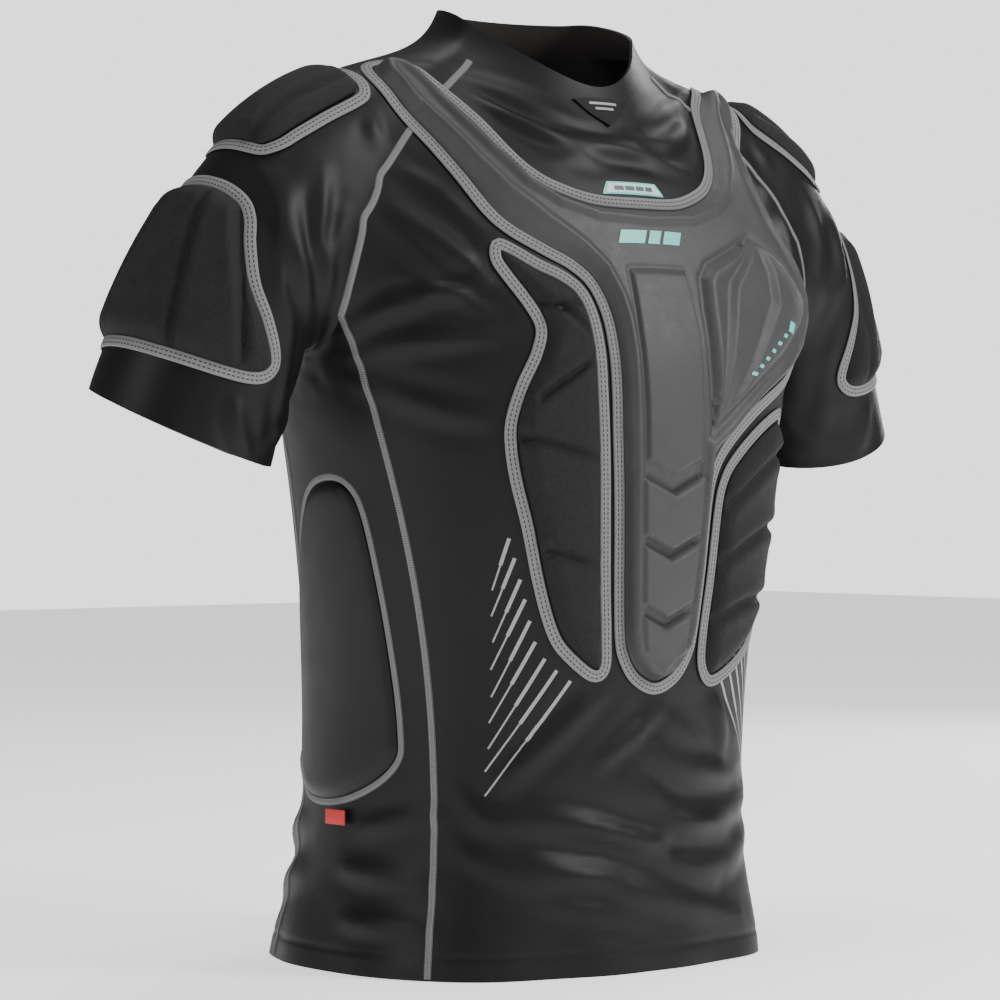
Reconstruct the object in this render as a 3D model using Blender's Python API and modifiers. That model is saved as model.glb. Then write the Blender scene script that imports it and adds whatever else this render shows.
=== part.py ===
"""Padded hockey shirt: a stretch shirt with raglan sleeves that carries a moulded chest plate,
rib, side, spine, shoulder and upper-arm pads. Metres, +Z up, the wearer faces -Y, wearer's left is +X.
The shirt stands on its hem, and the origin is in the middle of its footprint."""

import math

import bmesh
import bpy
from mathutils import Vector
from mathutils.bvhtree import BVHTree
from mathutils.geometry import intersect_line_line_2d

# Torso: the height of each level above the hem, and the shirt's reach there from the shoulder plane
WAIST_HEIGHT = 0.155
CHEST_HEIGHT = 0.330
HEM_HALF_WIDTH = 0.179
HEM_FRONT = 0.155
HEM_BACK = 0.136
WAIST_HALF_WIDTH = 0.157
WAIST_FRONT = 0.158
WAIST_BACK = 0.102
CHEST_HALF_WIDTH = 0.182
CHEST_FRONT = 0.180
CHEST_BACK = 0.100
BODY_CENTRE_Y = -0.026
BODY_SQUARENESS = 2.35
BREAST_HEIGHT = 0.418
BLADE_HEIGHT = 0.428
TORSO_LEVELS = (0.095, 0.185, 0.275, 0.355)
# Side seams: the height above the hem, and the angle from the centre front in degrees
FRONT_SEAM_ANGLES = ((0, 51.5), (0.155, 57.5), (0.230, 61), (0.300, 65), (0.365, 73), (0.395, 78))
HEM_BAND_HEIGHT = 0.018

# Neck and collar
NECK_FRONT = Vector((0, 0.067 - CHEST_FRONT, 0.568))
NECK_BACK = Vector((0, 0.024, 0.628))
COLLAR_RISE = 0.022
COLLAR_LEAN = 0.008

# How the cloth bends between the centre line and a seam: where its points stand across, and how steeply it
# falls back and drops towards the seam
ACROSS = (0, 0.42, 0.76, 1)
FALL_BACK = 2.2
DROP = 1.5

# Shoulders: raglan seam points on the front and the back, and the ridge between them, at four rows. The
# outermost row and the sleeves stand off the widest part of the chest
ARMHOLE = CHEST_HALF_WIDTH
SHOULDER_ROWS = (
    # front seam, ridge, back seam, centre front, centre back
    ((ARMHOLE + 0.022, -0.092, 0.492), (ARMHOLE + 0.054, -0.036, 0.578), (ARMHOLE + 0.020, 0.026, 0.497),
     (0, 0.020 - CHEST_FRONT, 0.458), (0, CHEST_BACK - 0.004, 0.488)),
    ((0.160, -0.082, 0.558), (0.184, -0.034, 0.600), (0.158, 0.028, 0.565),
     (0, 0.031 - CHEST_FRONT, 0.500), (0, CHEST_BACK - 0.016, 0.553)),
    ((0.114, -0.070, 0.592), (0.126, -0.030, 0.614), (0.108, 0.022, 0.601),
     (0, 0.046 - CHEST_FRONT, 0.538), (0, CHEST_BACK - 0.042, 0.600)),
    ((0.080, -0.060, 0.612), (0.081, -0.036, 0.624), (0.068, 0.000, 0.628),
     tuple(NECK_FRONT), tuple(NECK_BACK)),
)

# Sleeves: rings from the armhole to the hem: centre, direction of the top, direction of the front, radius
SLEEVE_RINGS = (
    ((ARMHOLE + 0.052, -0.029, 0.485), (0.48, 0, 0.877), (0, -1, 0.0), 0.071),
    ((ARMHOLE + 0.074, -0.022, 0.440), (0.78, 0, 0.626), (0, -1, -0.10), 0.071),
    ((ARMHOLE + 0.098, -0.016, 0.374), (1.0, 0, 0.307), (0, -1, -0.307), 0.070),
    ((ARMHOLE + 0.102, -0.016, 0.362), (1.0, 0, 0.307), (0, -1, -0.307), 0.070),
)

# Cloth, tape, foam and the gaps between layers
CLOTH = 0.0016
HEM_CLOTH = 0.0030
COLLAR_CLOTH = 0.0026
SEAM_GAP = 0.0006
LAYER_GAP = 0.0004
COVER_START = 0.0007
TAPE_WIDTH = 0.0080
TAPE = 0.0012
PLATE_FOAM = 0.0045
PLATE = 0.0065
RIB_FOAM = 0.0040
RIB_COVER = 0.0030
CAP_FOAM = 0.0050
CAP_COVER = 0.0035
BICEP_FOAM = 0.0045
BICEP_COVER = 0.0035
SIDE_PAD = 0.0040
SPINE_PAD = 0.0080
LABEL = 0.0006
MARGIN = 0.030

# Points nearer than this are one, in the shirt's surface and in an outline
SURFACE_WELD = 0.0001
OUTLINE_WELD = 0.00001
# The least share of a corner's own direction that a seam or an outline keeps there, so that none shoots out
SEAM_CORNER = 0.4
OUTLINE_CORNER = 0.5

# Chest plate and rib pads: outlines on a pattern plane that leans back, measured across from the centre
# and up from the breast point. They run along the middle of the binding tape.
CHEST_LEAN = 35
# How far the chest pattern cuts below and above its plane, and the same for the other patterns below
CHEST_REACH = (-0.20, 0.05)
TONGUE = ((0, -0.176), (0.018, -0.170), (0.029, -0.158), (0.033, -0.146), (0.0365, -0.118),
          (0.040, -0.078))
STRAP_OUTER = ((0.0425, -0.045), (0.043, -0.025), (0.0435, 0.003), (0.046, 0.028), (0.053, 0.047),
               (0.066, 0.060), (0.083, 0.071), (0.104, 0.087), (0.117, 0.104), (0.130, 0.135))
LEFT_WING = ((0.047, -0.060), (0.062, -0.045), (0.092, -0.024), (0.138, 0.004), (0.158, 0.022),
              (0.167, 0.033), (0.171, 0.046), (0.168, 0.060), (0.155, 0.083), (0.143, 0.104),
              (0.138, 0.137))
STRAP_END = ((0.141, 0.162), (0.155, 0.190), (0.161, 0.210), (0.158, 0.223), (0.149, 0.229),
             (0.136, 0.226), (0.126, 0.214), (0.115, 0.198), (0.103, 0.172), (0.091, 0.142),
             (0.079, 0.124), (0.063, 0.112), (0.036, 0.102), (0, 0.100))
COLLAR_PATCH = ((0, 0.159), (0.013, 0.168), (0.024, 0.180), (0, 0.181))
NECK_TAB = (0, 0.1110, 0.050, 0.0088)
CHEST_MARK = (0, 0.0745, 0.056, 0.0090)
WING_MARK = (0.1260, 0.0300, 0.0090, 0.0070)
RIB_RIGHT = ((0.0436, -0.146), (0.0472, -0.118), (0.0507, -0.078), (0.0537, -0.025), (0.0542, 0.003),
             (0.0565, 0.026), (0.062, 0.0413), (0.0726, 0.0517), (0.0903, 0.0625), (0.106, 0.0745),
             (0.1145, 0.079), (0.117, 0.070), (0.111, 0.057), (0.100, 0.038), (0.094, 0.023),
             (0.098, 0.009), (0.108, -0.007), (0.114, -0.023), (0.114, -0.037), (0.110, -0.056),
             (0.102, -0.081), (0.093, -0.111), (0.083, -0.136), (0.073, -0.150), (0.053, -0.165),
             (0.043, -0.163))
RIB_LEFT = ((0.0436, -0.146), (0.0472, -0.118), (0.0507, -0.083), (0.056, -0.067), (0.068, -0.054),
            (0.098, -0.033), (0.138, -0.010), (0.147, -0.009), (0.149, -0.020),
            (0.143, -0.036), (0.138, -0.062), (0.132, -0.085), (0.124, -0.112), (0.109, -0.138),
            (0.085, -0.157), (0.064, -0.168), (0.052, -0.170), (0.044, -0.162))

# Shoulder caps: outlines on a plane over the shoulder, measured outward and forward
CAP_CENTRE = Vector((ARMHOLE + 0.033, -0.033, 0.575))
CAP_FACING = Vector((0.55, 0, 0.835)).normalized()
CAP_REACH = (-0.07, 0.05)
CAP_OUTLINE = ((-0.047, -0.010), (-0.046, 0.020), (-0.040, 0.034), (-0.025, 0.038), (0.022, 0.037),
               (0.043, 0.032), (0.051, 0.020), (0.050, -0.020), (0.042, -0.036), (0.020, -0.041),
               (-0.025, -0.041), (-0.041, -0.033))

# Upper-arm pads: outlines bent round the arm, measured forward round the sleeve and down the arm
ARM_POINT = Vector((ARMHOLE + 0.074, -0.022, 0.440))
ARM_DOWN = Vector((0.38, 0.10, -0.92)).normalized()
ARM_PATTERN_RADIUS = 0.066
ARM_PATTERN_STEP = 0.040
ARM_REACH = (0.030, 0.110)
BICEP_OUTLINE = ((0, -0.068), (0.030, -0.066), (0.050, -0.060), (0.060, -0.050), (0.067, -0.034),
                 (0.080, -0.012), (0.098, 0.006), (0.114, 0.024), (0.116, 0.034), (0.106, 0.043),
                 (0.080, 0.048), (0.040, 0.050), (0, 0.050))

# Side pads: outlines seen from the side, measured along Y and up from the hem
FLANK_REACH = (0.05, 0.22)
SIDE_OUTLINE = ((-0.036, 0.330), (-0.052, 0.323), (-0.060, 0.305), (-0.065, 0.265), (-0.069, 0.213),
                (-0.072, 0.163), (-0.070, 0.143), (-0.053, 0.127), (-0.024, 0.115), (0.008, 0.111),
                (0.034, 0.115), (0.047, 0.130), (0.050, 0.160), (0.046, 0.205), (0.030, 0.260),
                (0.008, 0.305), (-0.012, 0.325))

# Spine pad: half outline on the back, measured from the centre and up from the hem
SPINE_REACH = (0, 0.16)
SPINE_OUTLINE = ((0, 0.120), (0.028, 0.126), (0.040, 0.145), (0.044, 0.200), (0.046, 0.300),
                 (0.062, 0.370), (0.074, 0.420), (0.070, 0.448), (0.048, 0.470), (0, 0.478))

# Sleeve motion and the side tag
ARM_PIVOT = Vector((ARMHOLE + 0.026, -0.030, 0.522))
TAG_SIZE = (0.0210, 0.0100, 0.0008)
TAG_CENTRE_Y = -0.016
TAG_HEIGHT = 0.1075
TAG_CLEARANCE = 0.0034

FRONT, SIDE, BACK, YOKE, SLEEVE, COLLAR, HEM, CUFF = range(8)

for old in list(bpy.data.objects):
    bpy.data.objects.remove(old, do_unlink=True)


def blend_levels(levels, at):
    """Smooth values between rows of (position, value, value...)."""
    for k in range(len(levels) - 1):
        low, high = levels[k], levels[k + 1]
        if at <= high[0] or k == len(levels) - 2:
            before = levels[max(k - 1, 0)]
            after = levels[min(k + 2, len(levels) - 1)]
            t = (at - low[0]) / (high[0] - low[0])
            out = []
            for p, a, b, q in zip(before[1:], low[1:], high[1:], after[1:]):
                slope_a = (b - p) / (high[0] - before[0]) * (high[0] - low[0])
                slope_b = (q - a) / (after[0] - low[0]) * (high[0] - low[0])
                out.append(
                    (2 * t**3 - 3 * t**2 + 1) * a + (t**3 - 2 * t**2 + t) * slope_a
                    + (3 * t**2 - 2 * t**3) * b + (t**3 - t**2) * slope_b
                )
            return out


def torso_point(height, angle):
    """The torso's surface at a height and an angle in degrees from the centre front."""
    width, front, back = blend_levels(
        (
            (0.0, HEM_HALF_WIDTH, HEM_FRONT, HEM_BACK),
            (WAIST_HEIGHT, WAIST_HALF_WIDTH, WAIST_FRONT, WAIST_BACK),
            (CHEST_HEIGHT, CHEST_HALF_WIDTH, CHEST_FRONT, CHEST_BACK),
        ),
        min(height, CHEST_HEIGHT),
    )
    s, c = math.sin(math.radians(angle)), math.cos(math.radians(angle))
    depth = front + BODY_CENTRE_Y if c > 0 else back - BODY_CENTRE_Y
    power = 2 / BODY_SQUARENESS
    x = width * abs(s) ** power
    y = BODY_CENTRE_Y - depth * math.copysign(abs(c) ** power, c)
    return Vector((x, y, height))


def sleeve_ring(k):
    """Eight points of a sleeve ring: top, then over the front to the underarm and up the back."""
    centre, top, front, radius = SLEEVE_RINGS[k]
    centre, top, front = Vector(centre), Vector(top).normalized(), Vector(front).normalized()
    return [
        centre + radius * (math.cos(a) * top + math.sin(a) * front)
        for a in (math.tau * i / 8 for i in range(8))
    ]


def build_cage():
    """The wearer's left half of the shirt's surface as a coarse cage, open at the centre plane."""
    bm = bmesh.new()
    ring = sleeve_ring(0)
    armpit_front, underarm, armpit_back = ring[3], ring[4], ring[5]
    rows = []
    for height in (0.0, HEM_BAND_HEIGHT, *TORSO_LEVELS):
        seam = blend_levels(FRONT_SEAM_ANGLES, height)[0]
        angles = (0, seam / 3, seam * 2 / 3, seam, 90, 180 - seam, 180 - seam * 2 / 3, 180 - seam / 3, 180)
        rows.append([torso_point(height, a) for a in angles])

    def across(start, end):
        """Points from a centre point to a seam point, flat in the middle and bending at the side."""
        return [
            Vector((
                start.x + (end.x - start.x) * s,
                start.y + (end.y - start.y) * s**FALL_BACK,
                start.z + (end.z - start.z) * s**DROP,
            ))
            for s in ACROSS
        ]

    front_rows = [across(Vector((0, -CHEST_FRONT, BREAST_HEIGHT)), armpit_front)]
    back_rows = [across(Vector((0, CHEST_BACK, BLADE_HEIGHT)), armpit_back)]
    arcs = [[ring[3], ring[2], ring[1], ring[0], ring[7], ring[6], ring[5]]]
    for front, ridge, back, centre_front, centre_back in SHOULDER_ROWS:
        front, ridge, back = Vector(front), Vector(ridge), Vector(back)
        front_rows.append(across(Vector(centre_front), front))
        back_rows.append(across(Vector(centre_back), back))
        middle = (front + back) / 2
        arcs.append([
            middle + (front - middle) * math.cos(a) + (ridge - middle) * math.sin(a)
            for a in (math.pi * i / 6 for i in range(7))
        ])
        arcs[-1][0], arcs[-1][6] = front, back
    rows.append(front_rows[0] + [underarm] + back_rows[0][::-1])
    made = {}

    def vertex(p):
        key = tuple(round(c, 6) for c in p)
        if key not in made:
            made[key] = bm.verts.new(p)
        return made[key]

    def skin(lower, upper, panels):
        """A strip of faces between two rows of points."""
        for k, panel in enumerate(panels):
            corners = [vertex(p) for p in (lower[k], lower[k + 1], upper[k + 1], upper[k])]
            bm.faces.new(corners).material_index = panel

    for k in range(len(rows) - 1):
        panels = [HEM] * 8 if k == 0 else [FRONT] * 3 + [SIDE] * 2 + [BACK] * 3
        skin(rows[k], rows[k + 1], panels)
    for k in range(4):
        skin(front_rows[k], front_rows[k + 1], [FRONT] * 3)
        skin(back_rows[k + 1], back_rows[k], [BACK] * 3)
        skin(arcs[k], arcs[k + 1], [YOKE] * 6)
    neck = front_rows[4] + arcs[4][1:-1] + back_rows[4][::-1]
    rim = []
    for p in neck:
        inward = Vector((-p.x, BODY_CENTRE_Y - p.y, 0)).normalized()
        rim.append(p + inward * COLLAR_LEAN + Vector((0, 0, COLLAR_RISE)))
        if p.x == 0:
            rim[-1].x = 0
    skin(neck, rim, [COLLAR] * (len(neck) - 1))
    rings = [sleeve_ring(k) for k in range(len(SLEEVE_RINGS))]
    for k, panel_here in enumerate((YOKE, SLEEVE, CUFF)):
        closed_lower, closed_upper = rings[k + 1] + rings[k + 1][:1], rings[k] + rings[k][:1]
        skin(closed_lower[::-1], closed_upper[::-1], [panel_here] * 8)
    bmesh.ops.recalc_face_normals(bm, faces=bm.faces)
    return bm


collection = bpy.data.collections.new("padded_hockey_shirt")
cutters = bpy.data.collections.new("cutters")
bpy.context.scene.collection.children.link(collection)
bpy.context.scene.collection.children.link(cutters)


def shirt_surface():
    """The whole shirt's outer surface as flat triangles, each with the panel it belongs to."""
    mesh = bpy.data.meshes.new("shirt_cage")
    build_cage().to_mesh(mesh)
    guide = bpy.data.objects.new("shirt_cage", mesh)
    cutters.objects.link(guide)
    mirror = guide.modifiers.new("both_halves", "MIRROR")
    mirror.merge_threshold = SURFACE_WELD
    rounded = guide.modifiers.new("rounded", "SUBSURF")
    rounded.levels = rounded.render_levels = 1
    bm = bmesh.new()
    bm.from_mesh(bpy.data.meshes.new_from_object(guide.evaluated_get(bpy.context.evaluated_depsgraph_get())))
    bpy.data.objects.remove(guide)
    bmesh.ops.triangulate(bm, faces=bm.faces)
    bm.normal_update()
    outward = bm.verts.layers.float_vector.new("outward")
    for v in bm.verts:
        v[outward] = v.normal
        if v.co.z < SURFACE_WELD:
            v[outward] = Vector((v.normal.x, v.normal.y, 0)).normalized()
    return bm


SURFACE = shirt_surface()


def material(name, colour, roughness):
    """A plain finish."""
    made = bpy.data.materials.new(name)
    made.use_nodes = True
    shader = made.node_tree.nodes["Principled BSDF"]
    shader.inputs["Base Color"].default_value = (*colour, 1)
    shader.inputs["Roughness"].default_value = roughness
    return made


STRETCH_CLOTH = material("stretch_cloth", (0.012, 0.012, 0.013), 0.55)
PAD_CLOTH = material("brushed_pad_cloth", (0.010, 0.010, 0.011), 0.85)
MOULDED_FOAM = material("moulded_foam", (0.075, 0.077, 0.080), 0.60)
CORE_FOAM = material("core_foam", (0.20, 0.20, 0.21), 0.90)
GREY_TAPE = material("grey_tape", (0.36, 0.36, 0.37), 0.70)
TEAL_PRINT = material("teal_print", (0.10, 0.62, 0.58), 0.45)
RED_LABEL = material("red_label", (0.60, 0.02, 0.03), 0.60)


def make_piece(name, bm, finish, parent):
    """A named object from a mesh, under an empty that stands at its joint or at the shirt's origin."""
    bmesh.ops.recalc_face_normals(bm, faces=bm.faces)
    mesh = bpy.data.meshes.new(name)
    bm.to_mesh(mesh)
    bm.free()
    made = bpy.data.objects.new(name, mesh)
    mesh.materials.clear()
    mesh.materials.append(finish)
    made.parent = parent
    made.location = -pivots[parent]
    collection.objects.link(made)
    return made


def make_empty(name, place, parent=None):
    """An empty at a place in the shirt's frame."""
    made = bpy.data.objects.new(name, None)
    collection.objects.link(made)
    if parent:
        made.parent = parent
        made.location = place - pivots[parent]
    else:
        made.location = place
    pivots[made] = place
    return made


def on_side(point, side):
    """A point given for the wearer's left, taken to the right where side is -1."""
    return Vector((point.x * side, point.y, point.z))


def thicken(bm, low, high):
    """Turns an open patch of the surface into a closed layer between two heights above it."""
    outward = bm.verts.layers.float_vector["outward"]
    for v in bm.verts:
        v.co += v[outward] * low
    grown = bmesh.ops.extrude_face_region(bm, geom=bm.faces[:])["geom"]
    for v in grown:
        if isinstance(v, bmesh.types.BMVert):
            v.co += v[outward] * (high - low)


def panel(name, finish, parent, panels, thickness, side=0):
    """One cloth panel: the shirt's surface inside its seams, drawn back by half the seam's gap."""
    bm = SURFACE.copy()
    ours = [
        f for f in bm.faces
        if f.material_index in panels and (side == 0 or f.calc_center_median().x * side > 0)
    ]
    inside = set(ours)
    shift = {}
    for f in ours:
        for e in f.edges:
            if any(g not in inside for g in e.link_faces):
                a, b = e.verts
                along = (b.co - a.co).normalized()
                inward = f.calc_center_median() - a.co
                inward = (inward - along * inward.dot(along)).normalized()
                for v in e.verts:
                    shift.setdefault(v, []).append(inward)
    for v, pulls in shift.items():
        total = sum(pulls, Vector()).normalized()
        v.co += total * SEAM_GAP / 2 / max(total.dot(pulls[0]), SEAM_CORNER)
    bmesh.ops.delete(bm, geom=[f for f in bm.faces if f not in inside], context="FACES")
    thicken(bm, 0, -thickness)
    return make_piece(name, bm, finish, parent)


def flat_points(points):
    """An outline's corners as points."""
    return [Vector(p) for p in points]


def mirrored(points):
    """A whole outline from its half, whose first and last points are on the centre line."""
    return list(points) + [(-x, y) for x, y in points[::-1] if x != 0]


def enclosed(outline):
    """The signed area inside an outline."""
    return sum(outline[k - 1].cross(outline[k]) for k in range(len(outline))) / 2


def largest_loop(outline):
    """An outline without the small loops where it crosses itself."""
    n = len(outline)
    for i in range(n):
        for j in range(i + 2, n):
            if (j + 1) % n == i:
                continue
            ends = outline[i], outline[i + 1], outline[j], outline[(j + 1) % n]
            crossing = intersect_line_line_2d(*ends)
            if crossing:
                inside = [crossing] + outline[i + 1:j + 1]
                outside = outline[:i + 1] + [crossing] + outline[j + 1:]
                return largest_loop(max(inside, outside, key=lambda loop: abs(enclosed(loop))))
    return outline


def offset_outline(outline, distance):
    """An outline moved outward by a distance."""
    n = len(outline)
    turn = math.copysign(1, enclosed(outline))
    out = []
    for k in range(n):
        a, b, c = outline[k - 1], outline[k], outline[(k + 1) % n]
        first, second = (b - a).normalized(), (c - b).normalized()
        normal = Vector((first.y + second.y, -first.x - second.x)).normalized() * turn
        stretch = 1 / max(OUTLINE_CORNER, normal.dot(Vector((first.y, -first.x)) * turn))
        out.append(b + normal * distance * stretch)
    return largest_loop(out)


class Flat:
    """A flat pattern plane that faces out of the shirt, and the depths and panels that it cuts."""

    step = None

    def __init__(self, origin, across, up, depths, panels, side=1):
        self.origin, self.across, self.up = origin, across.normalized(), up.normalized()
        self.out = self.across.cross(self.up)
        self.depths, self.panels, self.side = depths, panels, side

    def place(self, x, y, depth):
        return on_side(self.origin + x * self.across + y * self.up + depth * self.out, self.side)

    def read(self, point):
        away = on_side(point, self.side) - self.origin
        return away.dot(self.across), away.dot(self.up), away.dot(self.out)

    def faces(self, face):
        return face.normal.dot(on_side(self.out, self.side)) > 0


class Bent:
    """A pattern bent round the arm: x runs forward round it, y down it, and depth is the radius."""

    step = ARM_PATTERN_STEP

    def __init__(self, origin, down, depths, panels, side=1):
        self.origin, self.down = origin, down
        self.top = (Vector((1, 0, 0)) - down * down.x).normalized()
        self.front = self.top.cross(down)
        if self.front.y > 0:
            self.front = -self.front
        self.depths, self.panels, self.side = depths, panels, side

    def place(self, x, y, depth):
        angle = x / ARM_PATTERN_RADIUS
        spoke = math.cos(angle) * self.top + math.sin(angle) * self.front
        return on_side(self.origin + y * self.down + depth * spoke, self.side)

    def read(self, point):
        away = on_side(point, self.side) - self.origin
        top, front = away.dot(self.top), away.dot(self.front)
        return math.atan2(front, top) * ARM_PATTERN_RADIUS, away.dot(self.down), math.hypot(top, front)

    def faces(self, face):
        return True


def cutter(name, outline, pattern):
    """A prism that stands on a flat outline, carried to its pattern's place."""
    curve = bpy.data.curves.new(name, "CURVE")
    curve.dimensions, curve.fill_mode = "2D", "BOTH"
    low, high = pattern.depths
    curve.extrude = (high - low) / 2
    spline = curve.splines.new("POLY")
    spline.points.add(len(outline) - 1)
    for point, at in zip(spline.points, outline):
        point.co = (at.x, at.y, 0, 1)
    spline.use_cyclic_u = True
    guide = bpy.data.objects.new(name, curve)
    cutters.objects.link(guide)
    mesh = bpy.data.meshes.new_from_object(guide.evaluated_get(bpy.context.evaluated_depsgraph_get()))
    bpy.data.objects.remove(guide)
    bm = bmesh.new()
    bm.from_mesh(mesh)
    bmesh.ops.remove_doubles(bm, verts=bm.verts, dist=OUTLINE_WELD)
    if pattern.step:
        reach = max(abs(p.x) for p in outline)
        for k in range(-int(reach / pattern.step), int(reach / pattern.step) + 1):
            bmesh.ops.bisect_plane(
                bm, geom=bm.verts[:] + bm.edges[:] + bm.faces[:],
                plane_co=(k * pattern.step, 0, 0), plane_no=(1, 0, 0),
            )
        bmesh.ops.triangulate(bm, faces=bm.faces)
    for v in bm.verts:
        v.co = pattern.place(v.co.x, v.co.y, (low + high) / 2 + v.co.z)
    bmesh.ops.recalc_face_normals(bm, faces=bm.faces)
    if bm.calc_volume(signed=True) < 0:
        bmesh.ops.reverse_faces(bm, faces=bm.faces)
    bm.to_mesh(mesh)
    bm.free()
    made = bpy.data.objects.new(name, mesh)
    made.hide_render, made.display_type = True, "WIRE"
    made.parent = shirt
    cutters.objects.link(made)
    return made


def layer(name, finish, parent, outline, pattern, low, high, hole=None):
    """A layer over the shirt's surface between two heights, cut to an outline, with a hole if it is a rim."""
    bm = SURFACE.copy()
    least_x, most_x = min(p.x for p in outline) - MARGIN, max(p.x for p in outline) + MARGIN
    least_y, most_y = min(p.y for p in outline) - MARGIN, max(p.y for p in outline) + MARGIN

    def is_near(point):
        x, y, depth = pattern.read(point)
        return least_x < x < most_x and least_y < y < most_y and pattern.depths[0] < depth < pattern.depths[1]

    far = [
        f for f in bm.faces
        if f.material_index not in pattern.panels
        or not pattern.faces(f)
        or not any(is_near(v.co) for v in f.verts)
    ]
    bmesh.ops.delete(bm, geom=far, context="FACES")
    thicken(bm, low, high)
    made = make_piece(name, bm, finish, parent)
    for shape, operation in ((outline, "INTERSECT"), (hole, "DIFFERENCE")):
        if shape:
            cut = made.modifiers.new(operation.lower(), "BOOLEAN")
            cut.operation = operation
            cut.object = cutter(f"{name}_{operation.lower()}", shape, pattern)
    return made


def padded_area(names, outline, pattern, parent, foam, cover, finish):
    """A sewn-on pad: a foam core, a cover over it, and a tape bound round its edge."""
    inner = offset_outline(outline, -TAPE_WIDTH / 2 - LAYER_GAP)
    top = COVER_START + foam
    layer(names[1], CORE_FOAM, parent, inner, pattern, COVER_START, top)
    layer(names[0], finish, parent, inner, pattern, top + LAYER_GAP, top + LAYER_GAP + cover)
    layer(
        names[2], GREY_TAPE, parent, offset_outline(outline, TAPE_WIDTH / 2), pattern,
        COVER_START, COVER_START + TAPE, hole=offset_outline(outline, -TAPE_WIDTH / 2),
    )


pivots = {}
shirt = make_empty("shirt", Vector())
SIDES = (("right", -1), ("left", 1))

# Cloth panels, hem and collar
panel("front_panel", STRETCH_CLOTH, shirt, (FRONT,), CLOTH)
panel("back_panel", STRETCH_CLOTH, shirt, (BACK,), CLOTH)
panel("hem_band", STRETCH_CLOTH, shirt, (HEM,), HEM_CLOTH)
panel("collar_band", STRETCH_CLOTH, shirt, (COLLAR,), COLLAR_CLOTH)
for word, side in SIDES:
    panel(f"side_panel_{word}", STRETCH_CLOTH, shirt, (SIDE,), CLOTH, side)
    panel(f"sleeve_head_{word}", STRETCH_CLOTH, shirt, (YOKE,), CLOTH, side)

# Chest plate, its foam, its binding and its marks
lean = math.radians(CHEST_LEAN)
breast = Vector((0, -CHEST_FRONT, BREAST_HEIGHT))
chest = Flat(
    breast, Vector((1, 0, 0)), Vector((0, math.sin(lean), math.cos(lean))), CHEST_REACH,
    (FRONT, YOKE, BACK, SIDE),
)
right_half = [(-x, y) for x, y in TONGUE[1:] + STRAP_OUTER + STRAP_END[:-1]]
left_half = list(TONGUE + LEFT_WING + STRAP_END)
plate_outline = flat_points(left_half + right_half[::-1])
padded_area(
    ("chest_plate", "chest_plate_foam", "chest_plate_binding"), plate_outline, chest, shirt,
    PLATE_FOAM, PLATE, MOULDED_FOAM,
)
plate_top = COVER_START + PLATE_FOAM + LAYER_GAP + PLATE + LAYER_GAP


def bar(x, y, width, height):
    """A flat bar's corners."""
    return [Vector((x + i * width / 2, y + j * height / 2)) for i, j in ((-1, -1), (1, -1), (1, 1), (-1, 1))]


layer("chest_mark", TEAL_PRINT, shirt, bar(*CHEST_MARK), chest, plate_top, plate_top + LABEL)
layer("wing_mark", TEAL_PRINT, shirt, bar(*WING_MARK), chest, plate_top, plate_top + LABEL)
layer("neck_tab", TEAL_PRINT, shirt, bar(*NECK_TAB), chest, COVER_START, COVER_START + LABEL)
patch = flat_points(mirrored(COLLAR_PATCH))
throat = Flat(breast, chest.across, chest.up, chest.depths, (FRONT, COLLAR))
layer("collar_patch", STRETCH_CLOTH, shirt, patch, throat, COVER_START, COVER_START + CLOTH)

# Rib pads, side pads and spine pad
rib_right = flat_points((-x, y) for x, y in RIB_RIGHT)
rib_left = flat_points(RIB_LEFT)
for word, outline in (("right", rib_right), ("left", rib_left)):
    padded_area(
        (f"rib_pad_{word}", f"rib_foam_{word}", f"rib_binding_{word}"), outline, chest, shirt,
        RIB_FOAM, RIB_COVER, PAD_CLOTH,
    )
for word, side in SIDES:
    flank = Flat(Vector(), Vector((0, 1, 0)), Vector((0, 0, 1)), FLANK_REACH, (FRONT, BACK, SIDE), side)
    layer(
        f"side_pad_{word}", PAD_CLOTH, shirt, flat_points(SIDE_OUTLINE), flank,
        COVER_START, COVER_START + SIDE_PAD,
    )
spine = Flat(Vector(), Vector((-1, 0, 0)), Vector((0, 0, 1)), SPINE_REACH, (BACK,))
padded_area(
    ("spine_pad", "spine_foam", "spine_binding"), flat_points(mirrored(SPINE_OUTLINE)), spine, shirt,
    SPINE_PAD / 2, SPINE_PAD / 2, PAD_CLOTH,
)

# Shoulder caps, and the sleeves with their upper-arm pads
for word, side in SIDES:
    cap = Flat(
        CAP_CENTRE, Vector((0, -1, 0)), Vector((CAP_FACING.z, 0, -CAP_FACING.x)), CAP_REACH,
        (YOKE, FRONT, BACK), side,
    )
    padded_area(
        (f"shoulder_cap_{word}", f"shoulder_foam_{word}", f"shoulder_binding_{word}"),
        flat_points((y, x) for x, y in CAP_OUTLINE), cap, shirt, CAP_FOAM, CAP_COVER, PAD_CLOTH,
    )
    sleeve = make_empty(f"sleeve_hinge_{word}", on_side(ARM_PIVOT, side), shirt)
    panel(f"sleeve_end_{word}", STRETCH_CLOTH, sleeve, (SLEEVE,), CLOTH, side)
    panel(f"cuff_{word}", STRETCH_CLOTH, sleeve, (CUFF,), CLOTH, side)
    arm = Bent(ARM_POINT, ARM_DOWN, ARM_REACH, (YOKE, SLEEVE), side)
    whole = list(BICEP_OUTLINE) + [(-x, y) for x, y in BICEP_OUTLINE[-2:0:-1]]
    padded_area(
        (f"bicep_pad_{word}", f"bicep_foam_{word}", f"bicep_binding_{word}"),
        flat_points(whole), arm, sleeve, BICEP_FOAM, BICEP_COVER, PAD_CLOTH,
    )

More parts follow.
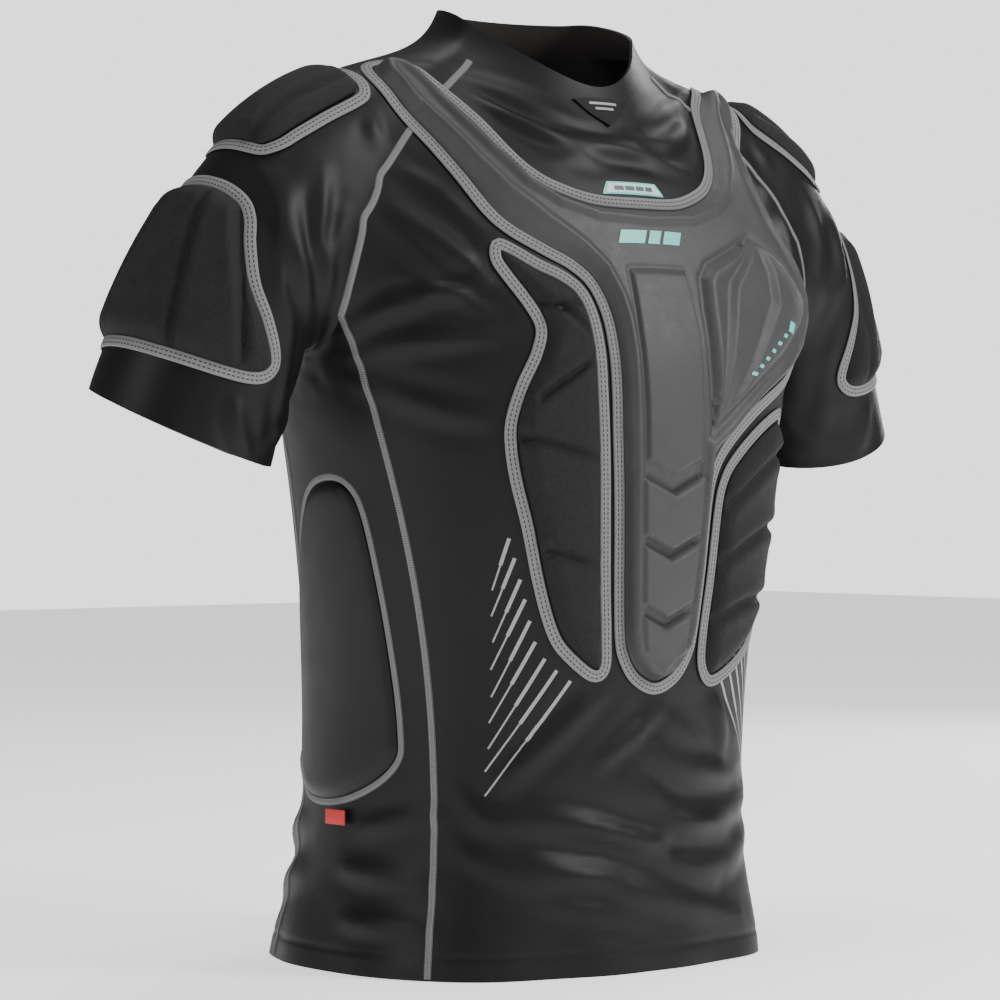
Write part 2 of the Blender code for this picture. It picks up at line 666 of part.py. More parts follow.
# Red tag: a small flap that hangs from its top edge at the foot of the wearer's right side pad
flank_hit = BVHTree.FromBMesh(SURFACE).ray_cast(Vector((-1, TAG_CENTRE_Y, TAG_HEIGHT)), Vector((1, 0, 0)))
tag_place = flank_hit[0] - Vector((TAG_CLEARANCE + TAG_SIZE[2] / 2, 0, 0))
tag_hinge = make_empty("side_tag_hinge", tag_place, shirt)
tag = bmesh.new()
bmesh.ops.create_cube(tag, size=1)
length, height, thick = TAG_SIZE
for v in tag.verts:
    v.co = tag_place + Vector((v.co.x * thick, v.co.y * length, (v.co.z - 0.5) * height))
make_piece("side_tag", tag, RED_LABEL, tag_hinge)

# The origin goes to the middle of the footprint
bpy.context.view_layer.update()
depsgraph = bpy.context.evaluated_depsgraph_get()
ys = [
    (made.matrix_world @ v.co).y
    for made in collection.objects if made.type == "MESH"
    for v in made.evaluated_get(depsgraph).data.vertices
]
shirt.location.y = -(min(ys) + max(ys)) / 2
SURFACE.free()
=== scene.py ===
"""Padded hockey shirt: a black stretch shirt with raglan sleeves, a moulded grey chest plate, and rib,
side, spine, shoulder and upper-arm pads bound with grey tape. Metres, +Z up, the wearer faces -Y."""
import math

import bmesh
import bpy
import numpy as np
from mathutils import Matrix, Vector
from mathutils.bvhtree import BVHTree
from mathutils.geometry import delaunay_2d_cdt
from mathutils.interpolate import poly_3d_calc


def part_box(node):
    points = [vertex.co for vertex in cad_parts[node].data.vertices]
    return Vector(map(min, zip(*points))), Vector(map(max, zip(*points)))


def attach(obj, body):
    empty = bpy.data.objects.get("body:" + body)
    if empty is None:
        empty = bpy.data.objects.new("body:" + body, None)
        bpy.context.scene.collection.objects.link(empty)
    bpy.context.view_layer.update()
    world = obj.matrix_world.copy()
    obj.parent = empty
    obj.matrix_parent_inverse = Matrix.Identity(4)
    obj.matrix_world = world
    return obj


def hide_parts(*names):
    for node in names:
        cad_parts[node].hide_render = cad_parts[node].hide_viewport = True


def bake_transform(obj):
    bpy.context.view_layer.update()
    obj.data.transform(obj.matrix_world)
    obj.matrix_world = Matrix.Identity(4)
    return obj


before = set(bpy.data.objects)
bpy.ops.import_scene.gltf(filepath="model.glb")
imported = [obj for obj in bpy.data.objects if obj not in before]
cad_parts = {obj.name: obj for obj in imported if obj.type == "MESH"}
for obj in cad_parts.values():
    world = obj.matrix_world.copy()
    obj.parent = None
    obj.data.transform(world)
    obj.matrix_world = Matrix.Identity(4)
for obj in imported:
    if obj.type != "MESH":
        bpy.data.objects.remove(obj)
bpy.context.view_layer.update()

MM = 0.001

# The view: the shirt is seen level from its right front, 40 degrees round from straight ahead, through a
# long lens, standing on a pale floor between broad soft lamps.
VIEW_TURN = math.radians(40)
VIEW_DISTANCE = 2.6
AIM = Vector((0, 0.0268, 0.328))
view_line = Vector((math.sin(VIEW_TURN), math.cos(VIEW_TURN), 0))
camera = bpy.data.objects.new("camera", bpy.data.cameras.new("camera"))
camera.location = AIM - VIEW_DISTANCE * view_line
camera.rotation_euler = view_line.to_track_quat("-Z", "Y").to_euler()
camera.data.sensor_width = 36
camera.data.lens = 18 / math.tan(math.radians(15.33) / 2)
camera.data.shift_y = -0.02
bpy.context.collection.objects.link(camera)
bpy.context.scene.camera = camera


def lamp(name, place, aim, width, height, power, colour=(1, 1, 1)):
    """A soft rectangular lamp that faces a point."""
    light = bpy.data.lights.new(name, "AREA")
    light.shape, light.size, light.size_y = "RECTANGLE", width, height
    light.energy, light.color = power, colour
    made = bpy.data.objects.new(name, light)
    made.location = place
    made.rotation_euler = (Vector(aim) - Vector(place)).to_track_quat("-Z", "Y").to_euler()
    bpy.context.collection.objects.link(made)


lamp("key_lamp", (1.35, -2.0, 1.75), (0, 0, 0.38), 0.8, 1.2, 66)
lamp("front_lamp", (-1.1, -2.6, 1.9), (0, 0, 0.34), 1.0, 1.0, 10)
lamp("side_lamp", (-2.6, 0.1, 1.2), (0, 0, 0.35), 0.6, 1.6, 22)
lamp("far_lamp", (2.2, 1.0, 1.2), (0, 0, 0.4), 0.6, 1.6, 24)
lamp("top_lamp", (0.1, 0.0, 2.3), (0, 0, 0.5), 1.2, 0.9, 22)
world = bpy.data.worlds.new("studio")
bpy.context.scene.world = world
world.use_nodes = True
sky = world.node_tree.nodes["Background"]
sky.inputs["Color"].default_value = (1, 1, 1, 1)
seen = world.node_tree.nodes.new("ShaderNodeLightPath")
glow = world.node_tree.nodes.new("ShaderNodeMapRange")
glow.inputs["To Min"].default_value = 0.15
glow.inputs["To Max"].default_value = 1.9
world.node_tree.links.new(seen.outputs["Is Camera Ray"], glow.inputs["Value"])
world.node_tree.links.new(glow.outputs["Result"], sky.inputs["Strength"])

floor_mesh = bmesh.new()
bmesh.ops.create_grid(floor_mesh, x_segments=1, y_segments=1, size=6)
floor = bpy.data.objects.new("floor", bpy.data.meshes.new("floor"))
floor_mesh.to_mesh(floor.data)
bpy.context.collection.objects.link(floor)
floor_paint = bpy.data.materials.new("floor_paint")
floor_paint.use_nodes = True
floor_shader = floor_paint.node_tree.nodes["Principled BSDF"]
floor_shader.inputs["Base Color"].default_value = (0.86, 0.86, 0.86, 1)
floor_shader.inputs["Roughness"].default_value = 0.8
floor_shader.inputs["Emission Color"].default_value = (1, 1, 1, 1)
floor_shader.inputs["Emission Strength"].default_value = 1.0
floor.data.materials.append(floor_paint)

# The form: the shirt's outer surface as one smooth skin, taken from the CAD panels. The outer face of each
# panel is kept and welded to its neighbours, so that cloth, seams and pads all lie on the same body.
CLOTH_PANELS = (
    "front_panel", "back_panel", "side_panel_right", "side_panel_left", "sleeve_head_right",
    "sleeve_head_left", "sleeve_end_right", "sleeve_end_left", "cuff_right", "cuff_left", "hem_band",
    "collar_band",
)
# A CAD panel's thickness, which is also the length of the short edges on its rims
CAD_CLOTH = {"hem_band": 3.0 * MM, "collar_band": 2.6 * MM}
PLAIN_CAD_CLOTH = 1.6 * MM
RIM_MATCH = 0.02 * MM
SEAM_WELD = 1.2 * MM
BODY_MIDDLE_Y = 0.0268


def outer_face(node):
    """The outer face of a CAD panel: its rims are cut away, and the face that looks outward is kept."""
    sheet = bmesh.new()
    sheet.from_mesh(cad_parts[node].data)
    bmesh.ops.remove_doubles(sheet, verts=sheet.verts, dist=0.02 * MM)
    thick = CAD_CLOTH.get(node, PLAIN_CAD_CLOTH)
    rims = [f for f in sheet.faces if any(abs(e.calc_length() - thick) < RIM_MATCH for e in f.edges)]
    bmesh.ops.delete(sheet, geom=rims, context="FACES")
    groups, left = [], set(sheet.faces)
    while left:
        group, front = set(), [left.pop()]
        while front:
            face = front.pop()
            group.add(face)
            near = {g for e in face.edges for g in e.link_faces} & left
            left -= near
            front.extend(near)
        groups.append(group)
    middle = sum((v.co for v in sheet.verts), Vector()) / len(sheet.verts)
    if not node.startswith(("sleeve", "cuff")):
        middle = Vector((0, BODY_MIDDLE_Y, middle.z))

    def outwardness(group):
        return sum(f.calc_area() * f.normal.dot(f.calc_center_median() - middle) for f in group)

    outer = max(groups, key=outwardness)
    bmesh.ops.delete(sheet, geom=[f for f in sheet.faces if f not in outer], context="FACES")
    return sheet


def whole_skin():
    """All the outer faces as one skin of quads, each with its panel's number as its material."""
    skin = bmesh.new()
    for number, node in enumerate(CLOTH_PANELS):
        sheet = outer_face(node)
        for face in sheet.faces:
            face.material_index = number
        part = bpy.data.meshes.new("part")
        sheet.to_mesh(part)
        skin.from_mesh(part)
    bmesh.ops.remove_doubles(skin, verts=skin.verts, dist=SEAM_WELD)
    bmesh.ops.join_triangles(
        skin, faces=skin.faces, cmp_materials=True, angle_face_threshold=1.0, angle_shape_threshold=3.0
    )
    bmesh.ops.recalc_face_normals(skin, faces=skin.faces)
    return skin


def rounded(bm, levels):
    """A bmesh after some levels of Subdivision Surface."""
    mesh = bpy.data.meshes.new("rounded")
    bm.to_mesh(mesh)
    guide = bpy.data.objects.new("rounded", mesh)
    bpy.context.collection.objects.link(guide)
    subdivision = guide.modifiers.new("subdivision", "SUBSURF")
    subdivision.levels = subdivision.render_levels = levels
    depsgraph = bpy.context.evaluated_depsgraph_get()
    out = bmesh.new()
    out.from_mesh(bpy.data.meshes.new_from_object(guide.evaluated_get(depsgraph)))
    bpy.data.objects.remove(guide)
    out.normal_update()
    return out


form = rounded(whole_skin(), 3)
# The left breast is fuller than the right, under the thicker wing of the plate
LEFT_BREAST = Vector((0.152, -0.100, 0.455))
LEFT_FULLNESS = 14.0 * MM
for v in form.verts:
    away = (v.co - LEFT_BREAST).length / 0.062
    v.co += Vector((0.45, -0.89, 0)) * LEFT_FULLNESS * math.exp(-away * away)
form.normal_update()
form_tree = BVHTree.FromBMesh(form)
form.verts.ensure_lookup_table()
form.faces.ensure_lookup_table()


def on_form(place, tree=form_tree, mesh=form):
    """The nearest point of the skin to a place, and the skin's smooth normal there."""
    spot, _, index, _ = tree.find_nearest(place)
    corners = mesh.faces[index].verts
    shares = poly_3d_calc([v.co for v in corners], spot)
    return spot, sum((s * v.normal for s, v in zip(shares, corners)), Vector()).normalized()


# Cloth: black stretch jersey cut as a front, a back, two side panels and two raglan sleeves, with a turned
# hem, two cuffs and a collar. It is drawn into folds by the body's twist, and lies flat under every pad.
PADS = (
    "chest_plate_foam", "chest_plate_binding", "rib_foam_right", "rib_binding_right", "rib_foam_left",
    "rib_binding_left", "side_pad_right", "side_pad_left", "spine_foam", "spine_binding",
    "shoulder_foam_right", "shoulder_binding_right", "shoulder_foam_left", "shoulder_binding_left",
    "bicep_foam_right", "bicep_binding_right", "bicep_foam_left", "bicep_binding_left",
)
CLOTH = 1.2 * MM
# Folds on the wearer's right: points along each ridge, then its half width and its height
FOLDS = (
    (((-0.129, -0.083, 0.121), (-0.108, -0.102, 0.104), (-0.041, -0.124, 0.095), (0.015, -0.126, 0.085)), 7, 3.4),
    (((-0.130, -0.084, 0.086), (-0.082, -0.115, 0.066), (-0.029, -0.126, 0.066)), 7, 2.6),
    (((-0.126, -0.087, 0.105), (-0.091, -0.111, 0.081), (-0.016, -0.126, 0.056), (0.097, -0.110, 0.029)), 8, 3.2),
    (((-0.124, -0.092, 0.074), (-0.062, -0.121, 0.050), (0.102, -0.108, 0.021)), 9, 2.4),
    (((-0.108, -0.102, 0.114), (-0.052, -0.123, 0.103), (0.068, -0.119, 0.054)), 7, 3.0),
    (((0.010, -0.133, 0.190), (-0.005, -0.131, 0.167), (-0.047, -0.125, 0.138)), 6, 2.6),
    (((0.050, -0.128, 0.191), (0.069, -0.122, 0.164), (0.081, -0.116, 0.138)), 6, 2.6),
    (((-0.034, -0.132, 0.197), (-0.065, -0.124, 0.169), (-0.108, -0.102, 0.128)), 7, 2.6),
    (((0.100, -0.107, 0.122), (0.034, -0.127, 0.134), (-0.007, -0.130, 0.153)), 8, 3.0),
    (((0.106, -0.104, 0.082), (0.036, -0.125, 0.098), (-0.018, -0.128, 0.129)), 8, 3.2),
    (((-0.155, -0.010, 0.096), (-0.135, -0.075, 0.109)), 6, 2.4),
    (((-0.159, 0.008, 0.069), (-0.142, -0.070, 0.064)), 7, 2.6),
    (((-0.164, 0.001, 0.034), (-0.144, -0.072, 0.034)), 7, 2.2),
    (((-0.154, -0.062, 0.549), (-0.126, -0.080, 0.538), (-0.100, -0.099, 0.517)), 6, 2.2),
    (((-0.166, -0.066, 0.532), (-0.141, -0.084, 0.515), (-0.112, -0.107, 0.485)), 6, 2.6),
    (((-0.178, -0.070, 0.507), (-0.149, -0.093, 0.482), (-0.118, -0.113, 0.454)), 7, 3.0),
    (((-0.199, -0.048, 0.422), (-0.175, -0.081, 0.442), (-0.117, -0.113, 0.457)), 6, 2.6),
    (((-0.193, -0.044, 0.408), (-0.166, -0.085, 0.417), (-0.116, -0.119, 0.422)), 6, 2.4),
    (((-0.187, -0.044, 0.394), (-0.157, -0.088, 0.375), (-0.121, -0.117, 0.366)), 7, 2.2),
    (((-0.175, -0.081, 0.463), (-0.124, -0.114, 0.436)), 6, 2.0),
    (((-0.099, -0.054, 0.586), (-0.053, -0.088, 0.560), (0.061, -0.099, 0.539)), 6, 2.4),
    (((-0.117, -0.039, 0.600), (-0.083, -0.072, 0.571), (-0.027, -0.102, 0.542)), 6, 2.0),
    (((0.033, -0.086, 0.568), (0.087, -0.056, 0.588), (0.136, -0.029, 0.604)), 6, 2.0),
    (((-0.248, -0.044, 0.533), (-0.242, -0.062, 0.471), (-0.194, -0.022, 0.399)), 7, 3.0),
    (((-0.218, -0.057, 0.529), (-0.224, -0.062, 0.471), (-0.198, -0.012, 0.409)), 6, 2.6),
    (((-0.254, -0.032, 0.538), (-0.256, -0.058, 0.484), (-0.251, -0.056, 0.416)), 6, 2.2),
    (((-0.208, -0.063, 0.500), (-0.216, -0.058, 0.453), (-0.191, 0.005, 0.390)), 6, 2.8),
    (((-0.245, -0.059, 0.439), (-0.245, -0.052, 0.398), (-0.243, -0.037, 0.352)), 6, 2.2),
    (((-0.191, -0.010, 0.390), (-0.260, -0.045, 0.343)), 6, 2.0),
    (((-0.284, -0.050, 0.386), (-0.281, -0.050, 0.361), (-0.270, -0.047, 0.343)), 6, 1.8),
    (((-0.179, -0.041, 0.582), (-0.176, -0.052, 0.562), (-0.174, -0.057, 0.548)), 6, 1.8),
)
# Folds on the back, on both sides of the spine pad
BACK_FOLDS = (
    (((0.160, 0.050, 0.110), (0.110, 0.108, 0.088), (0.030, 0.130, 0.080)), 8, 3.0),
    (((0.164, 0.045, 0.075), (0.110, 0.116, 0.052), (0.040, 0.140, 0.046)), 8, 2.6),
    (((0.150, 0.066, 0.160), (0.112, 0.096, 0.135), (0.060, 0.116, 0.118)), 8, 2.8),
    (((0.205, 0.040, 0.430), (0.160, 0.090, 0.420), (0.105, 0.118, 0.395)), 7, 2.8),
    (((0.200, 0.048, 0.455), (0.150, 0.100, 0.465), (0.100, 0.122, 0.450)), 7, 2.4),
    (((0.186, 0.050, 0.395), (0.150, 0.092, 0.370), (0.108, 0.112, 0.330)), 8, 2.6),
    (((0.172, 0.062, 0.545), (0.130, 0.092, 0.525), (0.092, 0.110, 0.500)), 7, 2.2),
    (((0.230, 0.058, 0.500), (0.236, 0.066, 0.450), (0.212, 0.040, 0.400)), 7, 2.6),
)


def smooth_line(points, step, closed=False):
    """A smooth line through points, as an array of points an even step apart."""
    p = np.array(points, float)
    p = np.vstack([p[-1:], p, p[:2]]) if closed else np.vstack([2 * p[0] - p[1], p, 2 * p[-1] - p[-2]])
    t = np.linspace(0, 1, 12, endpoint=False)[:, None]
    runs = [
        0.5 * (2 * b + (c - a) * t + (2 * a - 5 * b + 4 * c - d) * t**2 + (3 * b - a - 3 * c + d) * t**3)
        for a, b, c, d in zip(p, p[1:], p[2:], p[3:])
    ]
    dense = np.vstack(runs + [p[-2:-1]])
    far = np.concatenate([[0], np.cumsum(np.linalg.norm(np.diff(dense, axis=0), axis=1))])
    count = max(int(round(far[-1] / step)), 2)
    at = np.linspace(0, far[-1], count + 1)
    out = np.stack([np.interp(at, far, dense[:, k]) for k in range(dense.shape[1])], axis=1)
    return out[:-1] if closed else out


def reach(points, line, closed=False):
    """How far each point lies from a line, and how far along it as a share of its length."""
    a = np.array(line, float)
    b = np.roll(a, -1, axis=0) if closed else a[1:]
    a = a if closed else a[:-1]
    best = np.full(len(points), 9.0)
    share = np.zeros(len(points))
    for k, (start, end) in enumerate(zip(a, b)):
        run = end - start
        t = np.clip((points - start) @ run / max(run @ run, 1e-12), 0, 1)
        away = np.linalg.norm(points - start - t[:, None] * run, axis=1)
        nearer = away < best
        best[nearer] = away[nearer]
        share[nearer] = (k + t[nearer]) / len(a)
    return best, share


def ease(x):
    """A smooth rise from 0 to 1."""
    x = np.clip(x, 0, 1)
    return x * x * (3 - 2 * x)


def fold(points, line, width, height):
    """How far a fold lifts the cloth: a ridge that dies out at its ends, with a shallow dip on each side."""
    line = smooth_line(line, 0.008)
    out = np.zeros(len(points))
    near = np.all((points > line.min(0) - 5 * width) & (points < line.max(0) + 5 * width), axis=1)
    away, share = reach(points[near], line)
    swell = 0.75 + 0.5 * np.sin(math.pi * share)
    ridge = np.exp(-((away / (width * swell)) ** 2)) - 0.4 * np.exp(-((away / width - 2.1) ** 2))
    out[near] = height * ridge * np.sin(math.pi * np.clip(share, 0.02, 0.98)) ** 0.6
    return out


def worn_cloth():
    """The skin with its folds, which fade out where a pad lies."""
    worn = form.copy()
    worn.verts.ensure_lookup_table()
    rest = np.array([v.co[:] for v in worn.verts])
    outward = np.array([v.normal[:] for v in worn.verts])
    lift = np.zeros(len(rest))
    for line, width, height in FOLDS:
        line = np.array(line)
        lift += fold(rest, line, 0.85 * width * MM, 1.15 * height * MM)
        if line[:, 0].max() < 0.02 or line[:, 2].min() > 0.5:
            line = line * (-1, 1, 1) + (0.004, 0, 0.003)
            lift += fold(rest, line, 1.1 * width * MM, 0.9 * height * MM)
    for line, width, height in BACK_FOLDS:
        lift += fold(rest, np.array(line), width * MM, height * MM)
        lift += fold(rest, np.array(line) * (-1, 1, 1) + (0, 0, -0.006), width * MM, height * MM)
    corners, faces = [], []
    for node in PADS:
        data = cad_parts[node].data
        faces += [[len(corners) + i for i in polygon.vertices] for polygon in data.polygons]
        corners += [v.co.copy() for v in data.vertices]
    pads = BVHTree.FromPolygons(corners, faces)
    clear = np.array([(pads.find_nearest(v.co, 0.03)[3] or 0.03) for v in worn.verts])
    lift *= ease((clear - 0.003) / 0.014)
    hem_line = np.abs(rest[:, 2] - 0.015)
    lift -= 0.5 * MM * np.exp(-((hem_line / 0.0016) ** 2))
    lift *= 1 - 0.6 * ease((0.012 - rest[:, 2]) / 0.012)
    around = np.arctan2(rest[:, 1] - BODY_MIDDLE_Y, rest[:, 0])
    low = ease((0.070 - rest[:, 2]) / 0.070)
    lift += MM * low * (3.0 + 1.6 * np.sin(7 * around + 0.6) + 0.9 * np.sin(13 * around))
    for v, spot in zip(worn.verts, rest + outward * lift[:, None]):
        v.co = spot
    worn.normal_update()
    worn.faces.ensure_lookup_table()
    return worn


def new_piece(name, bm, finish, body="torso", sharp=50):
    """A finished piece: its mesh, material and the body it rides on."""
    mesh = bpy.data.meshes.new(name)
    bm.to_mesh(mesh)
    bm.free()
    mesh.polygons.foreach_set("use_smooth", [True] * len(mesh.polygons))
    mesh.set_sharp_from_angle(angle=math.radians(sharp))
    piece = bpy.data.objects.new(name, mesh)
    bpy.context.collection.objects.link(piece)
    for material in finish if isinstance(finish, (list, tuple)) else (finish,):
        mesh.materials.append(material)
    if body:
        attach(piece, body)
    return piece


def new_finish(name, roughness, **shader_values):
    """An empty procedural material: the material, its nodes, a linker and its shader."""
    made = bpy.data.materials.new(name)
    made.use_nodes = True
    nodes = made.node_tree.nodes
    shader = nodes["Principled BSDF"]
    shader.inputs["Roughness"].default_value = roughness
    for socket, value in shader_values.items():
        shader.inputs[socket.replace("_", " ")].default_value = value
    return made, nodes, made.node_tree.links.new, shader


def new_effect(name, numbers, colours=()):
    """An empty node group with number inputs and a Mask output."""
    group = bpy.data.node_groups.new(name, "ShaderNodeTree")
    for word, value in numbers:
        socket = group.interface.new_socket(word, in_out="INPUT", socket_type="NodeSocketFloat")
        socket.default_value = value
    group.interface.new_socket("Place", in_out="INPUT", socket_type="NodeSocketVector")
    group.interface.new_socket("Mask", in_out="OUTPUT", socket_type="NodeSocketFloat")
    return group, group.nodes.new("NodeGroupInput"), group.nodes.new("NodeGroupOutput")


def sum_up(nodes, link, kind, first, second):
    """A Math node with two inputs, each a socket or a number."""
    node = nodes.new("ShaderNodeMath")
    node.operation = kind
    for socket, value in zip(node.inputs, (first, second)):
        if isinstance(value, (int, float)):
            socket.default_value = value
        else:
            link(value, socket)
    return node.outputs[0]


def noise(nodes, link, place, scale, detail=3.0, roughness=0.55):
    """A Noise node on a place."""
    node = nodes.new("ShaderNodeTexNoise")
    node.inputs["Scale"].default_value = scale
    node.inputs["Detail"].default_value = detail
    node.inputs["Roughness"].default_value = roughness
    link(place, node.inputs["Vector"])
    return node.outputs["Fac"]


def shade(nodes, link, value, low, high):
    """A colour that runs between two shades as a value runs from 0 to 1."""
    ramp = nodes.new("ShaderNodeValToRGB")
    ramp.color_ramp.elements[0].color = (*low, 1)
    ramp.color_ramp.elements[1].color = (*high, 1)
    link(value, ramp.inputs["Fac"])
    return ramp.outputs["Color"]


def bumped(nodes, link, shader, height, depth):
    """Feeds a height into the shader's normal, as a bump of some depth in metres."""
    bump = nodes.new("ShaderNodeBump")
    bump.inputs["Strength"].default_value = 1.0
    bump.inputs["Distance"].default_value = depth
    link(height, bump.inputs["Height"])
    link(bump.outputs["Normal"], shader.inputs["Normal"])


def knit_effect():
    """Fine jersey: wales a third of a millimetre wide crossed by courses."""
    group, given, out = new_effect("knit", (("Wales", 9000.0), ("Courses", 11000.0)))
    nodes, link = group.nodes, group.links.new
    parts = nodes.new("ShaderNodeSeparateXYZ")
    link(given.outputs["Place"], parts.inputs[0])
    flat = sum_up(nodes, link, "ADD", parts.outputs["X"], parts.outputs["Y"])
    wales = sum_up(nodes, link, "SINE", sum_up(nodes, link, "MULTIPLY", flat, given.outputs["Wales"]), 0)
    rise = sum_up(nodes, link, "MULTIPLY", parts.outputs["Z"], given.outputs["Courses"])
    courses = sum_up(nodes, link, "SINE", rise, 0)
    both = sum_up(nodes, link, "ADD", wales, courses)
    link(sum_up(nodes, link, "MULTIPLY", both, 0.5), out.inputs["Mask"])
    return group


knit = knit_effect()


def jersey(name, low, high, roughness, shine):
    """Stretch jersey between two near-black shades, with the knit in its surface."""
    made, nodes, link, shader = new_finish(name, roughness, Specular_IOR_Level=shine)
    place = nodes.new("ShaderNodeTexCoord").outputs["Object"]
    cloudy = noise(nodes, link, place, 14.0)
    link(shade(nodes, link, cloudy, low, high), shader.inputs["Base Color"])
    rough = sum_up(nodes, link, "MULTIPLY", noise(nodes, link, place, 45.0), 0.16)
    link(sum_up(nodes, link, "ADD", rough, roughness - 0.08), shader.inputs["Roughness"])
    weave = nodes.new("ShaderNodeGroup")
    weave.node_tree = knit
    link(place, weave.inputs["Place"])
    bumped(nodes, link, shader, weave.outputs["Mask"], 0.00002)
    return made


stretch_cloth = jersey("stretch_cloth", (0.0026, 0.0026, 0.0029), (0.0048, 0.0048, 0.0052), 0.46, 0.23)
worn = worn_cloth()
worn_tree = BVHTree.FromBMesh(worn)


def cloth_piece(name, panels, finish, thickness, body="torso"):
    """A cloth panel cut from the worn skin and given its thickness inward."""
    bm = worn.copy()
    numbers = [CLOTH_PANELS.index(panel) for panel in panels]
    bmesh.ops.delete(bm, geom=[f for f in bm.faces if f.material_index not in numbers], context="FACES")
    for face in bm.faces:
        face.material_index = 0
    bmesh.ops.solidify(bm, geom=list(bm.faces), thickness=thickness)
    bm.normal_update()
    if isinstance(finish, tuple):
        for face in bm.faces:
            face.material_index = int(face.normal.dot(on_form(face.calc_center_median())[1]) < -0.5)
    piece = new_piece(name, bm, finish, body)
    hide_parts(*panels)
    return piece


def follow_arm(piece):
    """Bakes the piece's placing into its mesh."""
    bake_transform(piece)


front_cloth = cloth_piece("front_panel_cloth", ("front_panel",), stretch_cloth, CLOTH)
back_cloth = cloth_piece("back_panel_cloth", ("back_panel",), stretch_cloth, CLOTH)
for word in ("right", "left"):
    side_cloth = cloth_piece(f"side_panel_cloth_{word}", (f"side_panel_{word}",), stretch_cloth, CLOTH)
    sleeve_cloth = cloth_piece(
        f"sleeve_cloth_{word}", (f"sleeve_head_{word}", f"sleeve_end_{word}"), stretch_cloth, CLOTH, None
    )
    follow_arm(sleeve_cloth)

# Hem, cuffs and collar: the same jersey turned double and sewn down with black thread. The collar is a low
# stand that dips to a point at the front, lined with a brown-black tape inside.
lining, nodes, link, shader = new_finish("collar_lining", 0.85)
place = nodes.new("ShaderNodeTexCoord").outputs["Object"]
link(shade(nodes, link, noise(nodes, link, place, 60.0), (0.012, 0.010, 0.009), (0.022, 0.018, 0.016)),
     shader.inputs["Base Color"])
bumped(nodes, link, shader, noise(nodes, link, place, 900.0), 0.0002)
hem_cloth = cloth_piece("hem_cloth", ("hem_band",), stretch_cloth, 2.4 * MM)
collar_cloth = cloth_piece("collar_cloth", ("collar_band",), (stretch_cloth, lining), 2.2 * MM)
for word in ("right", "left"):
    cuff_cloth = cloth_piece(f"cuff_cloth_{word}", (f"cuff_{word}",), stretch_cloth, 2.4 * MM, None)
    follow_arm(cuff_cloth)


# Flat seams: grey cover-stitch about 5 mm wide over the joins between the front, the side panels, the back
# and the sleeves. Each is a low band that lies on the cloth, its stitches drawn along it.
def band_mesh(line, half_width, section, closed, tree, mesh):
    """A band laid along a line on the cloth. Its section is offsets and heights in mm, top side first."""
    stations = len(line) + (1 if closed else 0)
    columns = len(section) + 1
    bm = bmesh.new()
    uv = bm.loops.layers.uv.new("along")
    bmesh.ops.create_grid(bm, x_segments=stations - 1, y_segments=columns - 1, size=0.5)
    spots = [on_form(Vector(p), tree, mesh) for p in line]
    rows, far, total = [], [0.0], 0.0
    for k in range(stations):
        here, normal = spots[k % len(line)]
        before = spots[(k - 1) % len(line) if closed else max(k - 1, 0)][0]
        after = spots[(k + 1) % len(line) if closed else min(k + 1, len(line) - 1)][0]
        side = (after - before).cross(normal).normalized()
        row = []
        for offset, height in section:
            spot, up = on_form(here + side * (offset * half_width), tree, mesh)
            row.append(spot + up * (height * MM))
        rows.append(row)
        if k:
            total += (here - spots[(k - 1) % len(line)][0]).length
            far.append(total)
    pitch = 3.2 * MM
    scale = max(round(total / pitch), 1) * pitch / total
    index = {}
    for v in bm.verts:
        i = round((v.co.x + 0.5) * (stations - 1))
        j = round((v.co.y + 0.5) * (columns - 1))
        index[v] = (i, j)
    for face in bm.faces:
        for loop in face.loops:
            i, j = index[loop.vert]
            loop[uv].uv = (far[i] * scale, section[j % len(section)][0] * half_width)
    for v, (i, j) in index.items():
        v.co = rows[i][j % len(section)]
    bmesh.ops.remove_doubles(bm, verts=bm.verts, dist=0.01 * MM)
    if not closed:
        bmesh.ops.holes_fill(bm, edges=[e for e in bm.edges if e.is_boundary], sides=0)
    bmesh.ops.recalc_face_normals(bm, faces=bm.faces)
    return bm


def strip(name, line, half_width, section, closed, finish, tree, mesh, body="torso"):
    """A band as a piece of its own."""
    return new_piece(name, band_mesh(line, half_width, section, closed, tree, mesh), finish, body)


def stitch_effect():
    """Rows of stitches: a dash each pitch along the band, at one distance either side of its middle."""
    group, given, out = new_effect(
        "stitch_rows", (("Row", 0.0023), ("Thread", 0.0004), ("Pitch", 0.0032), ("Dash", 0.7), ("Lean", 0.0))
    )
    nodes, link = group.nodes, group.links.new
    parts = nodes.new("ShaderNodeSeparateXYZ")
    link(given.outputs["Place"], parts.inputs[0])
    off = sum_up(nodes, link, "ABSOLUTE", parts.outputs["Y"], 0)
    gap = sum_up(nodes, link, "ABSOLUTE", sum_up(nodes, link, "SUBTRACT", off, given.outputs["Row"]), 0)
    row = sum_up(nodes, link, "LESS_THAN", gap, given.outputs["Thread"])
    leant = sum_up(nodes, link, "MULTIPLY", parts.outputs["Y"], given.outputs["Lean"])
    run = sum_up(nodes, link, "ADD", parts.outputs["X"], leant)
    turns = sum_up(nodes, link, "FRACT", sum_up(nodes, link, "DIVIDE", run, given.outputs["Pitch"]), 0)
    dash = sum_up(nodes, link, "LESS_THAN", turns, given.outputs["Dash"])
    link(sum_up(nodes, link, "MULTIPLY", row, dash), out.inputs["Mask"])
    return group


stitch_rows = stitch_effect()


